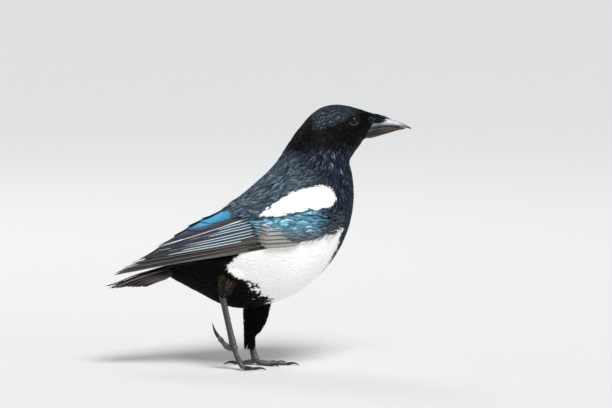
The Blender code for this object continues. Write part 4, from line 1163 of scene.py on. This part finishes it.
def bill_half(name, table, upper, materials, node):
    """One half of the bill: a ridge or keel, and flat where the two halves meet."""
    rows, columns = BILL_GRID
    share = np.linspace(0, 1, rows)[:, None] ** 0.9
    x = table[0][0] + (table[-1][0] - table[0][0]) * share
    turn = np.linspace(0, np.pi, columns)
    top, low, half = curve(table, x[:, 0]).T[:, :, None]
    arch = np.sin(turn) ** (0.92 if upper else 0.8)
    y = half * signed_power(np.cos(turn), 0.9)
    z = low + (top - low) * arch if upper else top - (top - low) * arch
    points = np.stack(np.broadcast_arrays(x, y, z), -1)
    faces = ring_faces(rows, columns)
    if upper:
        # A painted highlight along the top of the upper mandible, fading towards its root and tip
        culmen_highlight = smooth(share, 0.05, 0.4) * smooth(share, 1.0, 0.72) * smooth(arch, 0.1, 0.5)
        tint = blend(BILL_DARK, BILL_HIGHLIGHT, culmen_highlight)
    else:
        faces = [f[::-1] for f in faces]
        blotch = 0.62 + 0.38 * np.sin(x * 1.3 + 2 * np.sin(z * 2.1)) * np.sin(z * 3.1 + x * 0.4)
        stain = smooth(share, 0.35, 0.6) * smooth(arch, 0.95, 0.4) * blotch
        tint = blend(blend(BILL_DARK, BILL_BLUE, smooth(share, 0.9, 0.3)), BILL_STAIN, stain * 0.9)
    piece = solid(name, points, faces, materials["horn"], tint)
    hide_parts(node)


def make_eye(side, chart, materials):
    """An eyeball with its iris and pupil, and the rims of the lids round it."""
    sign = SIGNS[side]
    grid = chart.points.reshape(-1, 3)
    away = np.hypot(grid[:, 0] - EYE_X, grid[:, 2] - EYE_Z) + 50 * (grid[:, 1] * sign < 0)
    nearest = np.argmin(away)
    middle = np.array([EYE_X, sign * (abs(grid[nearest, 1]) - EYE_SINK), EYE_Z])
    forward = unit(chart.normals.reshape(-1, 3)[nearest] * EYE_LOOK)
    up = unit(np.array([0.0, 0.0, 1.0]) - forward * forward[2])
    aside = np.cross(up, forward)

    def around(turn, reach, level):
        """Points round the way that the eye looks."""
        return (middle + (reach * np.cos(turn))[..., None] * aside + (reach * np.sin(turn))[..., None] * up
                + level[..., None] * forward)

    rings, sides = EYE_GRID
    tilt = np.linspace(0, np.pi, rings)[:, None]
    turn = np.linspace(0, 2 * np.pi, sides, endpoint=False)[None, :]
    bulge = EYE_RADIUS + CORNEA * smooth(tilt, 0.75, 0.2)
    iris = smooth(tilt, 0.40, 0.46) * smooth(tilt, 0.86, 0.78)
    points = around(turn, np.sin(tilt) * bulge, np.cos(tilt) * bulge)
    eye = solid(f"eyeball_{side}", points, ring_faces(rings, sides), materials["eye"],
                blend(PUPIL, IRIS, iris))
    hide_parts(f"eye_{side}")
    count, columns = LID_GRID
    turn = np.linspace(0, 2 * np.pi, count, endpoint=False)[:, None]
    roll = np.linspace(0, 2 * np.pi, columns, endpoint=False)[None, :]
    folds = 0.07 * np.sin(turn * 17) + 0.05 * np.sin(turn * 29 + 1)
    oval = 1 + 0.09 * np.cos(turn) ** 2 - 0.03 * np.sin(turn)
    faces = [(r * columns + c, (r + 1) % count * columns + c, (r + 1) % count * columns + (c + 1) % columns,
              r * columns + (c + 1) % columns) for r in range(count) for c in range(columns)]
    for number, (radius, thick, height) in enumerate(LID_RINGS):
        reach = radius * oval + (thick + folds) * np.cos(roll)
        level = height + (thick * 0.8 + folds) * np.sin(roll)
        low = smooth(-np.sin(turn), 0.2, 0.75) * (number == 0)
        solid(f"lid_{side}_{number}", around(turn, reach, level), faces, materials["lid"],
              blend(LID_DARK, LID_PALE, low))


def make_bristles(materials):
    """The nasal bristles: fine stiff tufts that lie forward over the root of the bill."""
    draw = np.random.default_rng(SEEDS["bristles"])
    count = BRISTLES // 1
    turn = draw.uniform(-1.3, 1.3, (count, 1))
    start = draw.uniform(-7.5, 1.5, (count, 1))
    length = draw.uniform(7.0, 13.5, (count, 1)) * (1 - 0.28 * np.abs(turn))
    rows, columns = BRISTLE_GRID
    t = np.linspace(0, 1, rows)
    x = BILL_ROOT + start + length * t * np.cos(turn * 0.35)
    top, low, half = curve(CULMEN, np.maximum(x, BILL_ROOT).ravel()).T.reshape(3, count, rows)
    behind = smooth(x, 92.0, 86.0)
    top, half = top + behind * 1.4, half + behind * 1.6
    base = low + (top - low) * 0.25
    angle = turn + 0.10 * draw.normal(0, 1, (count, 1)) * t
    lift = 0.3 + draw.uniform(0.3, 1.2, (count, 1)) * np.sin(np.pi * np.minimum(t * 1.1, 1)) - 0.35 * t
    sine, cosine, none = np.sin(angle), np.cos(angle), np.zeros_like(angle)
    middle = np.stack([x, sine * (half + lift), base + (top - base + lift) * cosine], -1)
    out = np.stack([none, sine, cosine], -1)
    edge = np.stack([none, cosine, -sine], -1)
    wide = (BRISTLE_WIDTH * draw.uniform(0.7, 1.2, (count, 1)) * (1 - 0.85 * t))[..., None]
    ring = np.stack([middle - edge * wide, middle + out * wide * 0.6, middle + edge * wide,
                     middle - out * wide * 0.6], 2)
    # Some strands get the painted glint colour and look lighter grey
    grey = smooth(draw.random((count, 1)), 0.6, 1.0)
    tint = HEAD * draw.uniform(0.6, 2.2, (count, 1)) + PAINTED_GLINT * 0.6 * grey
    tint = np.broadcast_to(tint[:, None, None], ring.shape)
    own = draw.random((count, 1, 2)) * 0.9 + 0.03
    local = vane_places(t, np.linspace(-1, 1, columns))
    faces = ring_faces(rows, columns)
    piece = mesh_piece("nasal_bristles", ring, faces, materials["coat"], tint, BRISTLE_GLOSS,
                       {"OFBake": own + local * PATCH, "vane": local + own * 40}, len(faces))


def rounded(corners, count):
    """Evenly spaced points along a line whose corners are rounded off."""
    points = [np.array(c, float) for c in corners]
    for _ in range(3):
        cut = [points[0]]
        for a, b in zip(points[:-1], points[1:]):
            cut += [a * 0.75 + b * 0.25, a * 0.25 + b * 0.75]
        points = cut + [points[-1]]
    steps = [np.linalg.norm(b - a) for a, b in zip(points[:-1], points[1:])]
    reach = np.concatenate([[0.0], np.cumsum(steps)])
    places = np.linspace(0, reach[-1], count)
    return np.array([[np.interp(p, reach, [q[axis] for q in points]) for axis in range(3)] for p in places])


def toe_path(side, digit, start):
    """The line of one toe, down to the floor and along it, or up behind for the raised hind toe."""
    length, base, end, _, heading = TOES[digit]
    if (side, digit) == RAISED_TOE:
        low = start + np.array([-4.5, 0.0, -0.6])
        return rounded([start, low, low + unit(np.array(HIND_TOE_RISE)) * (length - 3.0)], TOE_ROWS)
    angle = math.radians(FOOT_TURN[side] + heading)
    away = np.array([math.cos(angle), SIGNS[side] * math.sin(angle), 0.0])
    slope = math.radians(TOE_SLOPE[side])
    drop = start[2] - FLOOR - base * SOLE
    run = min(drop / math.sin(slope), length - TOE_END_RUN)
    knuckle = start + (away * math.cos(slope) - np.array([0.0, 0.0, math.sin(slope)])) * run
    tip = knuckle + away * (length - run)
    tip[2] = knuckle[2] - (base - end) * SOLE
    return rounded([start, knuckle, tip], TOE_ROWS)


def scaled_tube(path, radii, columns, scutes, depth, floor=None):
    """Points, faces and colour of a tube with overlapping scutes in front and fine scales on its sides."""
    chart = tube_chart(path, radii, columns)
    run = np.concatenate([[0], np.cumsum(np.linalg.norm(np.diff(path, axis=0), axis=1))])[:, None]
    turn = np.linspace(0, 2 * np.pi, columns, endpoint=False)
    front = smooth(np.cos(turn), -0.1, 0.5)
    raised = (1 - (run / scutes) % 1.0) * front
    fine = 0.5 * np.sin(run * 5.2) * np.sin(turn * 7)
    points = chart.points + chart.normals * (depth * (raised + fine * (1 - front)))[..., None]
    if floor is not None:
        points[..., 2] = np.maximum(points[..., 2], floor)
    return points.reshape(-1, 3), ring_faces(len(path), columns), blend(LEG_DARK, LEG_PALE, raised.ravel())


def make_leg(side, materials):
    """Tarsus, foot and claws of one leg, over their solids."""
    path, _ = thigh_rings(side, THIGHS[side], 10)
    last = unit(path[-1] - path[-2])
    ankle = np.array(ANKLES[side]) * (1, SIGNS[side], 1)
    bend = path[-1] + last * (GAP + HEEL_RUN)
    line = rounded([path[-1] - last * 5.0, path[-1] + last * GAP, bend, ankle], TARSUS_ROWS)
    radii = curve(TARSUS_RADII, np.linspace(0, 1, TARSUS_ROWS))
    points, faces, tint = scaled_tube(line, radii, LEG_COLUMNS, 3.1, 0.22)
    piece = solid(f"shank_{side}", points, faces, materials["leg"], tint)
    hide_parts(f"tarsus_{side}")
    along = unit(ankle - bend)
    hub = ankle + along * np.linspace(-0.5, HUB_REACH[-1], 12)[:, None]
    parts = [scaled_tube(hub, curve(HUB_RADII, np.linspace(0, 1, 12)), LEG_COLUMNS, 2.2, 0.2, FLOOR)]
    t = np.linspace(0, 1, TOE_ROWS)
    pads = 1 + 0.11 * np.cos(2 * np.pi * t * 2.5)
    for digit, (_, base, end, claw, _) in TOES.items():
        toe = toe_path(side, digit, ankle + along * HUB_REACH[1])
        radius = (base + (end - base) * t) * pads * np.minimum(1, 0.35 + 4 * (1 - t)) ** 0.4
        parts.append(scaled_tube(toe, np.stack([radius, radius * 0.95], 1), TOE_COLUMNS, 1.9, 0.16, FLOOR))
        make_claw(side, digit, toe, end, claw, materials)
    points, faces, tints = [], [], []
    for part_points, part_faces, tint in parts:
        first = sum(len(p) for p in points)
        points.append(part_points)
        faces += [tuple(first + v for v in f) for f in part_faces]
        tints.append(tint)
    piece = solid(f"toes_{side}", np.concatenate(points), faces, materials["leg"],
                  np.concatenate(tints))
    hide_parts(f"foot_{side}")


def make_claw(side, digit, path, radius, length, materials):
    """A curved claw off the end of a toe."""
    along = unit(path[-1] - path[-1 - len(path) // 8])
    start = path[-1] - along * 0.4
    over = unit(np.cross(along, np.array([0.0, 1.0, 0.0])))
    raised = (side, digit) == RAISED_TOE
    if (over[2] < 0) != raised:
        over = -over
    bend, lift = (math.radians(angle) for angle in CLAW_TURN["raised" if raised else "down"])
    points = [start, start + along * (0.9 + GAP)]
    radii = [(radius * 0.86, radius * 0.72)] * 2
    for k in range(1, CLAW_STEPS + 1):
        angle = lift - bend * (k - 0.5) / CLAW_STEPS
        points.append(points[-1] + (along * math.cos(angle) + over * math.sin(angle)) * length / CLAW_STEPS)
        left = (1 - k / CLAW_STEPS) ** 0.8
        radii.append((radius * (0.06 + 0.80 * left), radius * (0.05 + 0.67 * left)))
    places = tube_chart(points, np.array(radii), CLAW_COLUMNS).points
    places[..., 2] = np.maximum(places[..., 2], FLOOR)
    faces = ring_faces(len(points), CLAW_COLUMNS)
    piece = solid(f"nail_{side}_{digit}", places, faces, materials["horn"], CLAW_COLOUR)
    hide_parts(f"claw_{side}_{digit}")


def node_material(name):
    made = bpy.data.materials.new(name)
    made.use_nodes = True
    return made, made.node_tree.nodes["Principled BSDF"], made.node_tree


def put(tree, kind, links=None, **settings):
    """A node with its settings, its inputs linked or set."""
    node = tree.nodes.new(kind)
    for key, value in settings.items():
        setattr(node, key, value)
    for key, value in (links or {}).items():
        socket = node.inputs[key]
        if isinstance(value, bpy.types.NodeSocket):
            tree.links.new(value, socket)
        else:
            socket.default_value = value
    return node


def attribute(tree, name, output):
    return put(tree, "ShaderNodeAttribute", attribute_name=name).outputs[output]


def ranged(tree, value, low, high, to_low, to_high):
    """A value brought from one range to another."""
    return put(tree, "ShaderNodeMapRange", {0: value, 1: low, 2: high, 3: to_low, 4: to_high}).outputs[0]


def maths(tree, operation, *values):
    return put(tree, "ShaderNodeMath", dict(enumerate(values)), operation=operation).outputs[0]


def finish_material(tree, shader, tone, roughness, height, strength, distance):
    """The tint times a grey tone, the roughness and the relief of one material."""
    node = put(tree, "ShaderNodeMix", data_type="RGBA", blend_type="MULTIPLY")
    node.inputs[0].default_value = 1.0
    tree.links.new(attribute(tree, "tint", "Color"), node.inputs[6])
    tree.links.new(tone, node.inputs[7])
    bump = put(tree, "ShaderNodeBump", {"Height": height, "Strength": strength, "Distance": distance})
    tree.links.new(node.outputs[2], shader.inputs["Base Color"])
    tree.links.new(roughness, shader.inputs["Roughness"])
    tree.links.new(bump.outputs[0], shader.inputs["Normal"])


def streaks(tree, vane, stretch, **settings):
    """Noise that is drawn out along a vane's map."""
    place = put(tree, "ShaderNodeMapping", {"Vector": vane, "Scale": stretch}).outputs[0]
    return put(tree, "ShaderNodeTexNoise", {"Vector": place, **settings}).outputs["Fac"]


def coat_material():
    """Contour feathers: barbs as streaks along each vane, in its colour and in its relief."""
    made, shader, tree = node_material("magpie_coat")
    vane = put(tree, "ShaderNodeUVMap", uv_map="vane").outputs["UV"]
    streak = streaks(tree, vane, (0.35, 9.0, 1.0), Scale=1.6, Detail=4.0, Roughness=0.62)
    gloss = attribute(tree, "gloss", "Fac")
    darkest = ranged(tree, gloss, 0.0, 1.0, 0.93, 0.62)
    tone = ranged(tree, streak, 0.32, 0.68, darkest, 1.2)
    finish_material(tree, shader, tone, ranged(tree, gloss, 0.0, 1.0, 0.78, 0.42), streak, 0.35, 0.0004)
    shader.inputs["Specular IOR Level"].default_value = 0.06
    return made


def quill_material():
    """Flight feathers: fine slanting barbs, a shaft, and a gloss that makes the colour metallic."""
    made, shader, tree = node_material("magpie_quill")
    vane = put(tree, "ShaderNodeUVMap", uv_map="vane").outputs["UV"]
    along, across, _ = put(tree, "ShaderNodeSeparateXYZ", {0: vane}).outputs
    from_shaft = maths(tree, "ABSOLUTE", maths(tree, "SUBTRACT", maths(tree, "FRACT", across), 0.5))
    slant = maths(tree, "MULTIPLY_ADD", from_shaft, 16.0, along)
    wave = maths(tree, "SINE", maths(tree, "MULTIPLY", slant, 6.283))
    noise = streaks(tree, vane, (0.12, 12.0, 1.0), Scale=1.0, Detail=3.0)
    grain = maths(tree, "MULTIPLY_ADD", wave, 0.10, noise)
    gloss = attribute(tree, "gloss", "Fac")
    finish_material(tree, shader, ranged(tree, grain, 0.25, 0.75, 0.70, 1.22),
                    ranged(tree, gloss, 0.0, 1.0, 0.62, 0.30), grain, 0.3, 0.0003)
    tree.links.new(ranged(tree, gloss, 0.2, 1.0, 0.0, 0.5), shader.inputs["Metallic"])
    return made


def surface_material(name, roughness, scale, strength, specular=0.5):
    """Skin, horn and eyes: the tint with fine uneven tone and relief."""
    made, shader, tree = node_material(name)
    place = put(tree, "ShaderNodeTexCoord").outputs["Object"]
    noise = put(tree, "ShaderNodeTexNoise",
                {"Vector": place, "Scale": scale, "Detail": 5.0, "Roughness": 0.6}).outputs["Fac"]
    finish_material(tree, shader, ranged(tree, noise, 0.3, 0.7, 0.75, 1.25),
                    ranged(tree, noise, 0.3, 0.7, roughness * 0.8, roughness * 1.2), noise, strength, 0.0003)
    shader.inputs["Specular IOR Level"].default_value = specular
    return made


def make_stage():
    """A plain pale floor with soft studio light."""
    mesh = bpy.data.meshes.new("floor")
    corners = [(-1, -1), (1, -1), (1, 1), (-1, 1)]
    mesh.from_pydata([(x * FLOOR_SIZE, y * FLOOR_SIZE, 0) for x, y in corners], [], [(0, 1, 2, 3)])
    floor = link("floor", mesh)
    made, shader, _ = node_material("floor")
    shader.inputs["Base Color"].default_value = FLOOR_COLOUR
    shader.inputs["Roughness"].default_value = 0.9
    mesh.materials.append(made)
    world = bpy.data.worlds.new("studio")
    world.use_nodes = True
    world.node_tree.nodes["Background"].inputs[0].default_value = SKY_COLOUR
    world.node_tree.nodes["Background"].inputs[1].default_value = WORLD_LIGHT
    bpy.context.scene.world = world
    for name, place, size, power in LIGHTS:
        data = bpy.data.lights.new(name, "AREA")
        data.shape = "DISK"
        data.size = size
        data.energy = power
        light = link(name, data)
        light.location = place
        light.rotation_euler = (Vector(LIGHTS_AIM) - Vector(place)).to_track_quat("-Z", "Y").to_euler()
    data = bpy.data.lights.new("key", "SUN")
    data.energy = SUN_LIGHT
    data.angle = math.radians(SUN_WIDTH)
    link("key", data).rotation_euler = Vector(SUN_FROM).to_track_quat("Z", "Y").to_euler()
    bpy.context.scene.view_settings.view_transform = "Standard"


def set_camera(shift):
    """The camera of the photograph: side on, a little above the bird, with a long lens."""
    data = bpy.data.cameras.new("camera")
    data.sensor_width = SENSOR
    data.lens = SENSOR * CAMERA_DISTANCE / PICTURE_WIDTH
    data.clip_start, data.clip_end = CAMERA_CLIP
    camera = link("camera", data)
    rise = math.radians(CAMERA_RISE)
    away = Vector((0.0, -math.cos(rise), math.sin(rise)))
    camera.location = Vector(PICTURE_MIDDLE) * MM + shift + away * CAMERA_DISTANCE * MM
    camera.rotation_euler = (-away).to_track_quat("-Z", "Y").to_euler()
    bpy.context.scene.camera = camera


def main():
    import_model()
    corners = [*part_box("eye_right"), *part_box("eye_left")]
    shift = sum(corners, Vector()) / 4 - Vector((EYE_X, 0.0, EYE_Z)) * MM
    set_camera(shift)
    make_stage()
    materials = {
        "coat": coat_material(),
        "quill": quill_material(),
        "skin": surface_material("magpie_skin", 0.8, 900.0, 0.4, 0.1),
        "horn": surface_material("magpie_horn", 0.34, 500.0, 0.25, 0.25),
        "leg": surface_material("magpie_leg", 0.45, 1200.0, 0.4),
        "lid": surface_material("magpie_lid", 0.5, 1500.0, 0.5, 0.2),
        "eye": surface_material("magpie_eye", 0.05, 800.0, 0.0, 0.2),
    }
    body = body_chart()
    depth = curve(COAT, np.arange(len(body.points)) / BODY_STEPS)[:, 3]
    thigh_depth = np.linspace(*THIGH_SKIN, THIGH_ROWS)
    charts = [body, thigh_chart("left"), thigh_chart("right")]
    make_skin(charts, [depth, thigh_depth, thigh_depth], materials["skin"])
    make_coat(body, materials)
    for side in SIGNS:
        make_thigh(side, materials)
        make_leg(side, materials)
        make_eye(side, body, materials)
    make_wings(materials)
    make_coverts(materials)
    make_tail(materials)
    bill_half("bill_top", CULMEN, True, materials, "bill_upper")
    bill_half("bill_under", MANDIBLE, False, materials, "bill_lower")
    make_bristles(materials)
    for piece in PIECES:
        piece.location = shift
        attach(piece, "root")


main()
